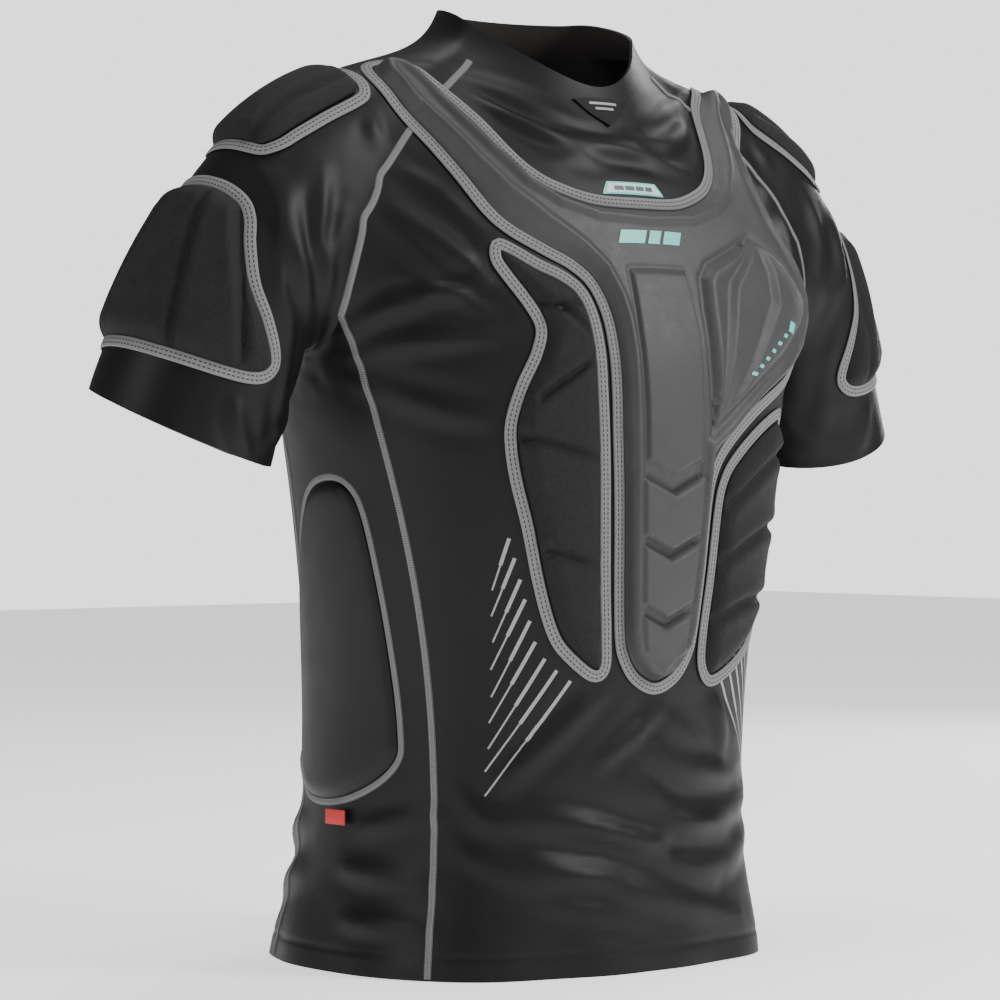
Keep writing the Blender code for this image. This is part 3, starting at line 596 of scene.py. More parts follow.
def stitched(name, base, thread, roughness, rows, depth):
    """A band's finish: its cloth, and its rows of stitches read from the band's own UV map."""
    made, nodes, link, shader = new_finish(name, roughness)
    place = nodes.new("ShaderNodeTexCoord").outputs["UV"]
    mask = None
    for row, half, pitch, dash, lean in rows:
        effect = nodes.new("ShaderNodeGroup")
        effect.node_tree = stitch_rows
        for word, value in zip(("Row", "Thread", "Pitch", "Dash", "Lean"), (row, half, pitch, dash, lean)):
            effect.inputs[word].default_value = value
        link(place, effect.inputs["Place"])
        out = effect.outputs["Mask"]
        mask = out if mask is None else sum_up(nodes, link, "MAXIMUM", mask, out)
    solid = nodes.new("ShaderNodeTexCoord").outputs["Object"]
    cloth = shade(nodes, link, noise(nodes, link, solid, 260.0, 4.0, 0.7), [c * 0.72 for c in base], base)
    mix = nodes.new("ShaderNodeMix")
    mix.data_type = "RGBA"
    link(mask, mix.inputs["Factor"])
    link(cloth, mix.inputs[6])
    mix.inputs[7].default_value = (*thread, 1)
    link(mix.outputs[2], shader.inputs["Base Color"])
    grain = sum_up(nodes, link, "MULTIPLY", noise(nodes, link, solid, 1500.0), 0.5)
    bumped(nodes, link, shader, sum_up(nodes, link, "SUBTRACT", grain, mask), depth)
    return made


seam_thread = stitched(
    "seam_thread", (0.20, 0.20, 0.205), (0.045, 0.045, 0.047), 0.75,
    ((0.0, 0.0012, 0.0016, 0.34, 0.35), (0.0021, 0.00022, 0.0016, 1.1, 0.0)), 0.0003,
)
SEAM_SECTION = ((-1.0, 0.10), (-0.8, 0.55), (0.0, 0.75), (0.8, 0.55), (1.0, 0.10), (0.0, 0.04))


def joins(first, second, side):
    """The line where two groups of panels meet on one side of the body, on the worn cloth."""
    first = [CLOTH_PANELS.index(p) for p in first]
    second = [CLOTH_PANELS.index(p) for p in second]
    edges = [
        e for e in worn.edges if len(e.link_faces) == 2
        and {f.material_index for f in e.link_faces} & set(first)
        and {f.material_index for f in e.link_faces} & set(second)
        and (side == 0 or (e.verts[0].co.x + e.verts[1].co.x) * side > 0)
    ]
    links = {}
    for e in edges:
        for v in e.verts:
            links.setdefault(v, []).append(e)
    ends = [v for v, near in links.items() if len(near) == 1]
    here = min(ends, key=lambda v: v.co.z) if ends else edges[0].verts[0]
    line, used = [here], set()
    while True:
        step = next((e for e in links[here] if e not in used), None)
        if step is None:
            break
        used.add(step)
        here = step.other_vert(here)
        line.append(here)
    closed = line[0] is line[-1]
    points = [v.co[:] for v in (line[:-1] if closed else line)]
    return smooth_line(points[::2] if closed else points[::2] + points[-1:], 2.4 * MM, closed), closed


for word, side in (("right", -1), ("left", 1)):
    sleeve_panels = (f"sleeve_head_{word}", f"sleeve_end_{word}")
    side_panel = (f"side_panel_{word}",)
    for name, first, second in (
        ("front_raglan_seam", ("front_panel",), sleeve_panels),
        ("back_raglan_seam", ("back_panel",), sleeve_panels),
        ("front_side_seam", ("front_panel",), side_panel),
        ("back_side_seam", ("back_panel",), side_panel),
    ):
        line, closed = joins(first, second, side)
        if "side_seam" in name:
            foot = line[0]
            drop = [[foot[0], foot[1], foot[2] - k * 2.4 * MM] for k in range(int(foot[2] / (2.4 * MM)), 0, -1)]
            line = np.vstack([drop, line])
        strip(f"{name}_{word}", line, 2.5 * MM, SEAM_SECTION, closed, seam_thread, worn_tree, worn)



# Chest plate: one piece of charcoal moulded foam, about 10 mm thick, on a softer foam core. A tongue runs
# down the breastbone, two straps run up to the shoulders, and a wing covers the left breast. It is moulded with
# a sloped rim, a ridge, a raised centre panel, three arrow segments and a fan of blades on the wing.
CHEST_LEAN = math.radians(35)
BREAST = Vector((0, -0.1532, 0.418))
TONGUE = (
    (0, -0.176), (0.018, -0.170), (0.029, -0.158), (0.033, -0.146), (0.0365, -0.118), (0.040, -0.078),
)
STRAP_OUTER = (
    (0.0425, -0.045), (0.043, -0.025), (0.0435, 0.003), (0.046, 0.028), (0.053, 0.047), (0.066, 0.060),
    (0.083, 0.071), (0.104, 0.087), (0.117, 0.104), (0.130, 0.135),
)
LEFT_WING = (
    (0.047, -0.060), (0.062, -0.045), (0.092, -0.024), (0.138, 0.004), (0.158, 0.022), (0.167, 0.033),
    (0.171, 0.046), (0.168, 0.060), (0.155, 0.083), (0.143, 0.104), (0.138, 0.137),
)
STRAP_END = (
    (0.141, 0.162), (0.155, 0.190), (0.161, 0.210), (0.158, 0.223), (0.149, 0.229), (0.136, 0.226),
    (0.126, 0.214), (0.115, 0.198), (0.103, 0.172), (0.091, 0.142), (0.079, 0.124), (0.063, 0.112),
    (0.036, 0.102), (0, 0.100),
)
TAPE_HALF = 4.0 * MM
# Ridges and grooves: across from the middle and up from the breast point
PLATEAU = (
    (0, -0.1680), (0.011, -0.1635), (0.0215, -0.153), (0.0245, -0.143), (0.0275, -0.115), (0.0305, -0.078),
    (0.0330, -0.050), (0.052, -0.040), (0.088, -0.014), (0.130, 0.012), (0.151, 0.029), (0.159, 0.045),
    (0.156, 0.058), (0.143, 0.079), (0.131, 0.102), (0.126, 0.137), (0.130, 0.162), (0.143, 0.192),
    (0.149, 0.209), (0.146, 0.217), (0.139, 0.214), (0.130, 0.196), (0.117, 0.166), (0.104, 0.138),
    (0.089, 0.115), (0.070, 0.101), (0.040, 0.090), (0, 0.087),
    (-0.040, 0.090), (-0.066, 0.100), (-0.085, 0.115), (-0.101, 0.140), (-0.114, 0.166), (-0.127, 0.196),
    (-0.138, 0.214), (-0.146, 0.217), (-0.150, 0.208), (-0.145, 0.194), (-0.127, 0.163), (-0.115, 0.136),
    (-0.100, 0.112), (-0.078, 0.089), (-0.056, 0.070), (-0.043, 0.055), (-0.036, 0.036), (-0.0335, 0.020),
    (-0.0325, 0.003), (-0.0325, -0.020), (-0.032, -0.045), (-0.0305, -0.078), (-0.0275, -0.115),
    (-0.0245, -0.143), (-0.0215, -0.153), (-0.011, -0.1635),
)
CENTRE_PANEL = (
    (-0.0240, 0.0530), (0.0240, 0.0530), (0.0250, 0.030), (0.0260, 0.010), (0.0250, -0.020),
    (0.0235, -0.0582), (0, -0.0665), (-0.0235, -0.0582), (-0.0250, -0.020), (-0.0260, 0.010),
    (-0.0250, 0.030),
)
ARROWS = (
    ((-0.0265, -0.0670), (0, -0.0765), (0.0265, -0.0670), (0.0238, -0.0965), (0, -0.1050), (-0.0238, -0.0965)),
    ((-0.0240, -0.1014), (0, -0.1100), (0.0240, -0.1014), (0.0208, -0.1315), (0, -0.1390), (-0.0208, -0.1315)),
    ((-0.0205, -0.1375), (0, -0.1448), (0.0205, -0.1375), (0.0170, -0.1560), (0, -0.1665), (-0.0170, -0.1560)),
)
WING_LEFT = ((0.099, 0.084), (0.069, 0.070), (0.047, 0.060), (0.038, 0.050), (0.0345, 0.029), (0.0335, -0.004), (0.034, -0.044))
WING_RIGHT = ((0.099, 0.084), (0.128, 0.070), (0.152, 0.052), (0.150, 0.040), (0.120, 0.014), (0.085, -0.010), (0.034, -0.044))
BLADE_ONE = ((0.099, 0.084), (0.083, 0.066), (0.065, 0.048), (0.052, 0.010), (0.034, -0.044))
BLADE_TWO = ((0.099, 0.084), (0.108, 0.060), (0.107, 0.041), (0.077, 0.0015), (0.034, -0.044))


# The steps between the arrows: the upper and lower edge on the middle line, and the half width
V_STEPS = ((-0.0665, -0.0765, 0.0262), (-0.1050, -0.1100, 0.0238), (-0.1390, -0.1448, 0.0205))
V_SLOPE = 0.36
STRAP_FACETS = tuple(
    tuple((side * x, y) for x, y in ((0.1235, 0.152), (0.138, 0.186), (0.146, 0.182), (0.133, 0.166)))
    for side in (-1, 1)
)


def leaning(across, rise):
    """A point of the pattern plane that leans back on the chest."""
    return BREAST + Vector((across, rise * math.sin(CHEST_LEAN), rise * math.cos(CHEST_LEAN)))


def flat_pattern(place, outward):
    """Lays a pattern on the skin: from two pattern lengths to the skin's point and normal there."""
    def lay(across, rise):
        hit = form_tree.ray_cast(place(across, rise) + outward * 0.4, -outward)[0]
        return on_form(hit if hit is not None else place(across, rise))
    return lay


CHEST_OUT = Vector((0, -math.cos(CHEST_LEAN), math.sin(CHEST_LEAN)))
lay_chest = flat_pattern(leaning, CHEST_OUT)


def within(points, outline):
    """How far each point lies inside a closed outline, less than 0 outside it."""
    a = np.array(outline, float)
    b = np.roll(a, -1, axis=0)
    x, y = points[:, 0], points[:, 1]
    crossed = np.zeros(len(points), bool)
    for start, end in zip(a, b):
        spans = (start[1] > y) != (end[1] > y)
        level = end[1] - start[1]
        cut = start[0] + (y - start[1]) * (end[0] - start[0]) / (level if level else 1e-12)
        crossed ^= spans & (x < cut)
    away = reach(points, a, True)[0]
    return np.where(crossed, away, -away)


def inset(outline, depth):
    """The points of an outline moved inward, kept where they don't crowd each other."""
    ahead = np.roll(outline, -1, axis=0) - np.roll(outline, 1, axis=0)
    ahead /= np.linalg.norm(ahead, axis=1)[:, None]
    turned = sum(p[0] * q[1] - q[0] * p[1] for p, q in zip(outline, np.roll(outline, -1, axis=0))) > 0
    inward = np.stack([-ahead[:, 1], ahead[:, 0]], axis=1) * (1 if turned else -1)
    moved = outline + inward * depth
    return moved[within(moved, outline) > depth * 0.97]


def pad_shell(
    name, outline, lay, spacing, relief, under, finish, body="torso", rings=(0.7, 1.6, 2.8, 4.2, 5.8, 7.6),
    creases=(),
):
    """A closed pad: its outline is filled with an even net that follows its creases, the net is laid on the
    skin and raised by the relief, and the underside is a copy of it, set at its own height."""
    net = [inset(outline, ring * MM) for ring in rings]
    kept = []
    for crease in creases:
        crease = crease[within(crease, outline) > rings[-1] * MM]
        for other in kept:
            crease = crease[reach(crease, other)[0] > 0.4 * spacing]
        kept.append(crease)
    net += kept
    low, high = outline.min(0), outline.max(0)
    grid = np.stack(np.meshgrid(np.arange(low[0], high[0], spacing), np.arange(low[1], high[1], spacing)), -1)
    grid[1::2, :, 0] += spacing / 2
    grid = grid.reshape(-1, 2)
    grid = grid[within(grid, outline) > rings[-1] * MM + 0.6 * spacing]
    for crease in kept:
        grid = grid[reach(grid, crease)[0] > 0.8 * spacing]
    net.append(grid)
    points = np.vstack([outline] + net)
    rim = [list(range(len(outline)))]
    flat, _, faces, _, _, _ = delaunay_2d_cdt([Vector(p) for p in points], [], rim, 1, 1e-6)
    flat = np.array([p[:] for p in flat])
    inside = np.maximum(within(flat, outline), 0)
    top = relief(flat, inside)
    bottom = under(top)
    bm = bmesh.new()
    laid = [lay(*p) for p in flat]
    crown = [bm.verts.new(spot + up * float(h)) for (spot, up), h in zip(laid, top)]
    for face in faces:
        bm.faces.new([crown[i] for i in face])
    bm.verts.index_update()
    bmesh.ops.recalc_face_normals(bm, faces=bm.faces)
    if sum(f.normal.dot(laid[f.verts[0].index][1]) for f in bm.faces) < 0:
        bmesh.ops.reverse_faces(bm, faces=bm.faces)
    count = len(crown)
    bm.verts.ensure_lookup_table()
    copied = bmesh.ops.duplicate(bm, geom=list(bm.verts) + list(bm.edges) + list(bm.faces))
    twins = copied["vert_map"]
    for i, v in enumerate(crown):
        spot, up = laid[i]
        twins[v].co = spot + up * float(bottom[i])
    below = [g for g in copied["geom"] if isinstance(g, bmesh.types.BMFace)]
    bmesh.ops.reverse_faces(bm, faces=below)
    bmesh.ops.bridge_loops(bm, edges=[e for e in bm.edges if e.is_boundary])
    return new_piece(name, bm, finish, body, 75)


def tape_inside(outline_points):
    """A binding's middle line, and the edge of the pad inside it."""
    middle = smooth_line(outline_points, 2.2 * MM, True)
    return middle, inset(smooth_line(outline_points, 1.6 * MM, True), TAPE_HALF + 0.1 * MM)


def foam_effect():
    """Moulded foam: a fine even pebble with a few larger pores."""
    group, given, out = new_effect("foam_grain", (("Pebble", 1500.0),))
    nodes, link = group.nodes, group.links.new
    pebble = nodes.new("ShaderNodeTexVoronoi")
    link(given.outputs["Place"], pebble.inputs["Vector"])
    link(given.outputs["Pebble"], pebble.inputs["Scale"])
    pores = noise(nodes, link, given.outputs["Place"], 420.0, 4.0, 0.7)
    link(sum_up(nodes, link, "ADD", pebble.outputs["Distance"], pores), out.inputs["Mask"])
    return group


foam_grain = foam_effect()


def foam_finish(name, low, high, roughness, depth):
    """Moulded or cut foam between two shades."""
    made, nodes, link, shader = new_finish(name, roughness, Specular_IOR_Level=0.4)
    place = nodes.new("ShaderNodeTexCoord").outputs["Object"]
    cloudy = noise(nodes, link, place, 55.0, 5.0, 0.65)
    link(shade(nodes, link, cloudy, low, high), shader.inputs["Base Color"])
    rough = sum_up(nodes, link, "MULTIPLY", noise(nodes, link, place, 130.0), 0.2)
    link(sum_up(nodes, link, "ADD", rough, roughness - 0.1), shader.inputs["Roughness"])
    grain = nodes.new("ShaderNodeGroup")
    grain.node_tree = foam_grain
    link(place, grain.inputs["Place"])
    bumped(nodes, link, shader, grain.outputs["Mask"], depth)
    return made


moulded_foam = foam_finish("moulded_foam", (0.030, 0.030, 0.0315), (0.046, 0.046, 0.048), 0.50, 0.00012)
core_foam = foam_finish("core_foam", (0.03, 0.03, 0.03), (0.05, 0.05, 0.05), 0.9, 0.0003)
binding_tape = stitched(
    "binding_tape", (0.20, 0.20, 0.204), (0.018, 0.018, 0.02), 0.7,
    ((0.0014, 0.00042, 0.0032, 0.62, 0.0),), 0.0004,
)
TAPE_SECTION = (
    (-1.0, 0.75), (-0.96, 1.45), (-0.80, 1.80), (-0.3, 1.90), (0.3, 1.90), (0.80, 1.80), (0.96, 1.45),
    (1.0, 0.75), (0.0, 0.72),
)


def plate_relief(flat, inside):
    """The chest plate's height above the cloth, in metres."""
    ridge = within(flat, PLATEAU)
    slope = inside / (inside + np.maximum(-ridge, 0) + 1e-9)
    height = 1.1 + 9.9 * ease(np.where(ridge > 0, 1.0, slope)) ** 0.85
    upper_body = ease((flat[:, 1] + 0.085) / 0.030)
    height -= (1.6 + 1.2 * upper_body) * ease(ridge / 0.0060)
    sunk = within(flat, CENTRE_PANEL)
    lip = reach(flat, CENTRE_PANEL[:2])[0]
    panel = np.minimum(ease((sunk + 0.0006) / 0.0024), ease(lip / 0.0050))
    moat = np.exp(-(((sunk + 0.0014) / 0.0013) ** 2))
    for arrow in ARROWS:
        sunk = within(flat, arrow)
        panel = np.maximum(panel, ease((sunk + 0.0006) / 0.0022))
        moat = np.maximum(moat, np.exp(-(((sunk + 0.0012) / 0.0012) ** 2)))
    on_tongue = (flat[:, 1] < 0.058) & (np.abs(flat[:, 0]) < 0.0315)
    height += np.where(on_tongue, 1.7 * panel - 1.0 * moat, 0)
    bend = V_SLOPE * np.abs(flat[:, 0])
    for upper, lower, half in V_STEPS:
        down = upper + bend - flat[:, 1]
        reach_down = upper - lower
        across = ease((half - np.abs(flat[:, 0])) / 0.003)
        fall = np.clip((down + 0.0008) / (reach_down - 0.0008), 0, 1)
        height -= 2.8 * across * fall * ease((reach_down + 0.0012 - down) / 0.0022)
    left = reach(flat, WING_LEFT)[0]
    right = reach(flat, WING_RIGHT)[0]
    on_wing = within(flat, WING_LEFT + WING_RIGHT[-2:0:-1])
    one, two = reach(flat, BLADE_ONE)[0], reach(flat, BLADE_TWO)[0]
    in_first = within(flat, WING_LEFT + BLADE_ONE[-2:0:-1]) > 0
    in_last = within(flat, BLADE_TWO + WING_RIGHT[-2:0:-1]) > 0
    first = 4.6 * ease(left / 0.0095) - 4.0 * ease((left - 0.007) / (one + left - 0.006 + 1e-9))
    second = 0.6 + 4.6 * np.clip(one / 0.0062, 0, 1) - 4.4 * one / (one + two + 1e-9)
    third = 0.8 + 4.0 * np.clip(two / 0.0058, 0, 1) - 3.0 * two / (two + right + 1e-9)
    wing = np.where(in_first, first, np.where(in_last, third, second))
    wing *= ease(np.maximum(on_wing, 0) / 0.0035)
    height += np.where(on_wing > 0, wing, 0)
    height -= 1.4 * np.exp(-((on_wing / 0.0026) ** 2)) * (ridge > 0.002)
    for mark in STRAP_FACETS:
        height -= 1.3 * ease((within(flat, mark) + 0.0006) / 0.0035)
    far = ease((flat[:, 0] - 0.110) / 0.060)
    height = 1.1 + (np.clip(height, 1.1, 12.8) - 1.1) * (1 - 0.40 * far)
    return height * MM


def cover_under(top):
    return np.clip(top - 0.6 * MM, 0.75 * MM, 5.3 * MM)


def core_relief(cap):
    """A foam core: square shoulders, a little under the cover."""
    def relief(flat, inside):
        return (0.75 + (cap - 0.75) * ease(inside / (9 * MM))) * MM
    return relief


def core_under(top):
    return np.full(len(top), 0.72 * MM)


plate_line = list(TONGUE + LEFT_WING + STRAP_END) + [(-x, y) for x, y in TONGUE[1:] + STRAP_OUTER + STRAP_END[:-1]][::-1]
middle, edge = tape_inside(plate_line)
# The moulding's creases: both edges of each step on the tongue, and the ridges of the blades
creases = [
    smooth_line([(-half, level + V_SLOPE * half), (0, level)], 0.9 * MM)
    for upper, lower, half in V_STEPS for level in (upper, lower - 0.0012, lower + 0.0010)
]
creases += [line * (-1, 1) for line in list(creases)]
creases += [smooth_line(line, 0.9 * MM) for line in (BLADE_ONE, BLADE_TWO)]
plate = pad_shell(
    "chest_plate_moulding", edge, lay_chest, 1.3 * MM, plate_relief, cover_under, moulded_foam,
    creases=creases,
)
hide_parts("chest_plate")


def bound_pad(label, outline, lay, spacing, relief, core, finish, replaced, body="torso", plate_made=None):
    """The core and the binding that go with a pad."""
    middle, edge = tape_inside(outline)
    core_edge = inset(smooth_line(outline, 4 * MM, True), TAPE_HALF + 3.5 * MM)
    core_piece = pad_shell(
        f"{label}_core", core_edge, lay, 5 * MM, core_relief(core), core_under, core_foam, body,
        rings=(3.0, 7.0),
    )
    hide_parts(replaced[1])
    line = [lay(*p)[0][:] for p in middle]
    tape = strip(f"{label}_tape", line, TAPE_HALF, TAPE_SECTION, True, binding_tape, form_tree, form, body)
    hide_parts(replaced[2])
    made = [core_piece, tape]
    if plate_made is None:
        cover = pad_shell(label, edge, lay, spacing, relief, cover_under, finish, body)
        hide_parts(replaced[0])
        made.append(cover)
    return made


bound_pad(
    "chest_plate", plate_line, lay_chest, 0, None, 4.9, None,
    ("chest_plate", "chest_plate_foam", "chest_plate_binding"), plate_made=plate,
)

# Rib pads: soft foam under brushed black cloth, quilted by sewn grooves, one below each side of the plate.
RIB_RIGHT = (
    (0.0436, -0.146), (0.0472, -0.118), (0.0507, -0.078), (0.0537, -0.025), (0.0542, 0.003), (0.0565, 0.026),
    (0.062, 0.0413), (0.0726, 0.0517), (0.0903, 0.0625), (0.106, 0.0745), (0.1145, 0.079), (0.117, 0.070),
    (0.111, 0.057), (0.100, 0.038), (0.094, 0.023), (0.098, 0.009), (0.108, -0.007), (0.114, -0.023),
    (0.114, -0.037), (0.110, -0.056), (0.102, -0.081), (0.093, -0.111), (0.083, -0.136), (0.073, -0.150),
    (0.053, -0.165), (0.043, -0.163),
)
RIB_LEFT = (
    (0.0436, -0.146), (0.0472, -0.118), (0.0507, -0.083), (0.056, -0.067), (0.068, -0.054), (0.098, -0.033),
    (0.138, -0.010), (0.147, -0.009), (0.149, -0.020), (0.143, -0.036), (0.138, -0.062), (0.132, -0.085),
    (0.124, -0.112), (0.109, -0.138), (0.085, -0.157), (0.064, -0.168), (0.052, -0.170), (0.044, -0.162),
)
RIB_GROOVES = (
    ((-0.094, 0.0395), (-0.0816, 0.033), (-0.056, 0.0355)), ((-0.0816, 0.033), (-0.070, 0.023), (-0.059, 0.013)),
    ((-0.061, -0.0006), (-0.081, -0.009), (-0.098, -0.016)), ((-0.109, -0.033), (-0.084, -0.045), (-0.055, -0.057)),
    ((-0.089, -0.095), (-0.067, -0.106), (-0.045, -0.113)),
)
LEFT_GROOVES = (
    ((0.136, -0.030), (0.100, -0.052), (0.060, -0.078)), ((0.130, -0.070), (0.094, -0.088), (0.056, -0.108)),
    ((0.118, -0.112), (0.086, -0.124), (0.052, -0.138)),
)


def quilted(edge_height, crown, grooves, width, depth, roll=11):
    """A pad's height in mm: a rolled edge, a low crown and sewn grooves."""
    def relief(flat, inside):
        height = edge_height + (crown - edge_height) * (1 - (1 - np.clip(inside / (roll * MM), 0, 1)) ** 2.2)
        height += 0.5 * ease(inside / (30 * MM))
        for groove in grooves:
            away, share = reach(flat, smooth_line(groove, 4 * MM))
            fade = ease(np.minimum(share, 1 - share) / 0.10 + 0.55)
            height -= depth * fade * np.exp(-((away / (width * MM)) ** 2))
            height += 0.25 * depth * np.exp(-(((away - 2.6 * width * MM) / (1.6 * width * MM)) ** 2))
        return np.clip(height, edge_height, None) * MM
    return relief


def brushed_cloth(name, low, high, patch):
    """Brushed knit: short nap that lies in patches, dull and darker where it is pressed."""
    made, nodes, link, shader = new_finish(name, 0.85, Specular_IOR_Level=0.35)
    place = nodes.new("ShaderNodeTexCoord").outputs["Object"]
    flecks = noise(nodes, link, place, 380.0, 5.0, 0.75)
    clouds = noise(nodes, link, place, patch, 4.0, 0.7)
    worn_nap = sum_up(nodes, link, "MULTIPLY", flecks, clouds)
    spread = sum_up(nodes, link, "MULTIPLY", sum_up(nodes, link, "SUBTRACT", worn_nap, 0.17), 5.0)
    link(shade(nodes, link, spread, low, high), shader.inputs["Base Color"])
    dull = sum_up(nodes, link, "MULTIPLY", clouds, 0.45)
    link(sum_up(nodes, link, "ADD", dull, 0.55), shader.inputs["Roughness"])
    bumped(nodes, link, shader, flecks, 0.0006)
    return made


pad_cloth = brushed_cloth("pad_cloth", (0.0022, 0.0022, 0.0024), (0.011, 0.011, 0.0118), 60.0)
bound_pad(
    "rib_pad_cover_right", [(-x, y) for x, y in RIB_RIGHT], lay_chest, 1.6 * MM,
    quilted(1.1, 7.6, RIB_GROOVES, 2.2, 3.8), 3.0, pad_cloth,
    ("rib_pad_right", "rib_foam_right", "rib_binding_right"),
)
bound_pad(
    "rib_pad_cover_left", RIB_LEFT, lay_chest, 1.6 * MM,
    quilted(1.1, 7.6, LEFT_GROOVES, 2.2, 3.8), 3.0, pad_cloth,
    ("rib_pad_left", "rib_foam_left", "rib_binding_left"),
)

# Side pads: thin foam under stretch cloth over the hips and lower ribs, sewn down all round with a grey seam.
SIDE_OUTLINE = (
    (-0.036, 0.330), (-0.052, 0.323), (-0.060, 0.305), (-0.065, 0.265), (-0.069, 0.213), (-0.072, 0.163),
    (-0.070, 0.143), (-0.053, 0.127), (-0.024, 0.115), (0.008, 0.111), (0.034, 0.115), (0.047, 0.130),
    (0.050, 0.160), (0.046, 0.205), (0.030, 0.260), (0.008, 0.305), (-0.012, 0.325),
)
ROW_SHIFT = 0.0268
pad_jersey = jersey("pad_jersey", (0.003, 0.003, 0.0033), (0.0055, 0.0055, 0.006), 0.45, 0.25)
for word, side in (("right", -1), ("left", 1)):
    lay_side = flat_pattern(lambda y, z: Vector((0, y + ROW_SHIFT, z)), Vector((side, 0, 0)))
    line = smooth_line(SIDE_OUTLINE, 2.2 * MM, True)
    pad_edge = inset(smooth_line(SIDE_OUTLINE, 2.5 * MM, True), 2.7 * MM)
    pad = pad_shell(
        f"side_pad_cover_{word}", pad_edge, lay_side, 4 * MM, quilted(0.9, 4.4, (), 2, 0, 9), core_under,
        pad_jersey, rings=(1.0, 2.5, 5.0, 8.0),
    )
    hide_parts(f"side_pad_{word}")
    strip(
        f"side_pad_seam_{word}", [lay_side(*p)[0][:] for p in line], 2.5 * MM, SEAM_SECTION, True, seam_thread,
        form_tree, form,
    )

# Spine pad: a long quilted pad down the middle of the back, in five blocks.
SPINE_HALF = (
    (0, 0.120), (0.028, 0.126), (0.040, 0.145), (0.044, 0.200), (0.046, 0.300), (0.062, 0.370), (0.074, 0.420),
    (0.070, 0.448), (0.048, 0.470), (0, 0.478),
)
SPINE_GROOVES = tuple(
    ((-half, z + 0.010), (0, z), (half, z + 0.010))
    for z, half in ((0.180, 0.036), (0.240, 0.038), (0.300, 0.040), (0.360, 0.052), (0.420, 0.066))
)
bound_pad(
    "spine_pad_cover", list(SPINE_HALF) + [(-x, z) for x, z in SPINE_HALF[-2:0:-1]],
    flat_pattern(lambda x, z: Vector((-x, 0, z)), Vector((0, 1, 0))), 2.6 * MM,
    quilted(1.1, 7.8, SPINE_GROOVES, 2.6, 3.8), 3.0, pad_cloth,
    ("spine_pad", "spine_foam", "spine_binding"),
)

# Shoulder caps: a moulded pad over the point of each shoulder, with one groove across its outer third.
CAP_CENTRE = Vector((0.215, -0.0062, 0.575))
CAP_FACING = Vector((0.55, 0, 0.835)).normalized()
CAP_OUTLINE = (
    (-0.047, -0.010), (-0.046, 0.020), (-0.040, 0.034), (-0.025, 0.038), (0.022, 0.037), (0.043, 0.032),
    (0.051, 0.020), (0.050, -0.020), (0.042, -0.036), (0.020, -0.041), (-0.025, -0.041), (-0.041, -0.033),
)
CAP_GROOVE = ((-0.034, 0.024), (-0.017, 0.024), (0.015, 0.021), (0.046, 0.019))
for word, side in (("right", -1), ("left", 1)):
    turn = Vector((side, 1, 1))

    def cap_place(forward, outward_run, turn=turn):
        run = CAP_CENTRE + Vector((CAP_FACING.z, -0, -CAP_FACING.x)) * outward_run + Vector((0, -1, 0)) * forward
        return run * turn

    bound_pad(
        f"shoulder_cap_cover_{word}", [(y, x) for x, y in CAP_OUTLINE], flat_pattern(cap_place, CAP_FACING * turn),
        2.0 * MM, quilted(1.1, 9.0, (tuple((y, x) for x, y in CAP_GROOVE),), 2.8, 4.4), 3.6, pad_cloth,
        (f"shoulder_cap_{word}", f"shoulder_foam_{word}", f"shoulder_binding_{word}"),
    )

# Upper-arm pads: foam bent round the sleeve, quilted into three long lobes.
ARM_POINT = Vector((0.256, 0.0048, 0.440))
ARM_DOWN = Vector((0.38, 0.10, -0.92)).normalized()
ARM_PATTERN_RADIUS = 0.066
BICEP_HALF = (
    (0, -0.068), (0.030, -0.066), (0.050, -0.060), (0.060, -0.050), (0.067, -0.034), (0.080, -0.012),
    (0.098, 0.006), (0.114, 0.024), (0.116, 0.034), (0.106, 0.043), (0.080, 0.048), (0.040, 0.050), (0, 0.050),
)
arm_top = (Vector((1, 0, 0)) - ARM_DOWN * ARM_DOWN.x).normalized()
arm_front = arm_top.cross(ARM_DOWN)
if arm_front.y > 0:
    arm_front = -arm_front
BICEP_GROOVES = (
    ((0.0200, -0.056), (0.0225, -0.043), (0.0400, 0.043)), ((0.052, -0.052), (0.056, -0.042), (0.091, 0.036)),
    ((-0.0200, -0.056), (-0.0225, -0.043), (-0.0400, 0.043)), ((-0.052, -0.052), (-0.056, -0.042), (-0.091, 0.036)),
)
for word, side in (("right", -1), ("left", 1)):
    turn = Vector((side, 1, 1))

    def lay_arm(forward, down, turn=turn):
        angle = forward / ARM_PATTERN_RADIUS
        inner = (ARM_POINT + ARM_DOWN * down) * turn
        outward = (arm_top * math.cos(angle) + arm_front * math.sin(angle)) * turn
        return on_form(form_tree.ray_cast(inner + outward * 0.030, outward)[0])

    for piece in bound_pad(
        f"bicep_pad_cover_{word}", list(BICEP_HALF) + [(-x, y) for x, y in BICEP_HALF[-2:0:-1]], lay_arm,
        2.4 * MM, quilted(1.1, 8.6, BICEP_GROOVES, 3.0, 4.6, 14), 3.0, pad_cloth,
        (f"bicep_pad_{word}", f"bicep_foam_{word}", f"bicep_binding_{word}"), None,
    ):
        follow_arm(piece)

# Marks: turquoise prints on the plate in plain shapes with no lettering, a pale tab sewn in at the neckline
# and two short bars on the black point of cloth let into the collar.
def print_finish(name, low, high):
    """Rubbery screen print, a little uneven where the foam's pebble shows through."""
    made, nodes, link, shader = new_finish(name, 0.42)
    place = nodes.new("ShaderNodeTexCoord").outputs["Object"]
    link(shade(nodes, link, noise(nodes, link, place, 320.0, 4.0), low, high), shader.inputs["Base Color"])
    bumped(nodes, link, shader, noise(nodes, link, place, 1300.0), 0.00008)
    return made


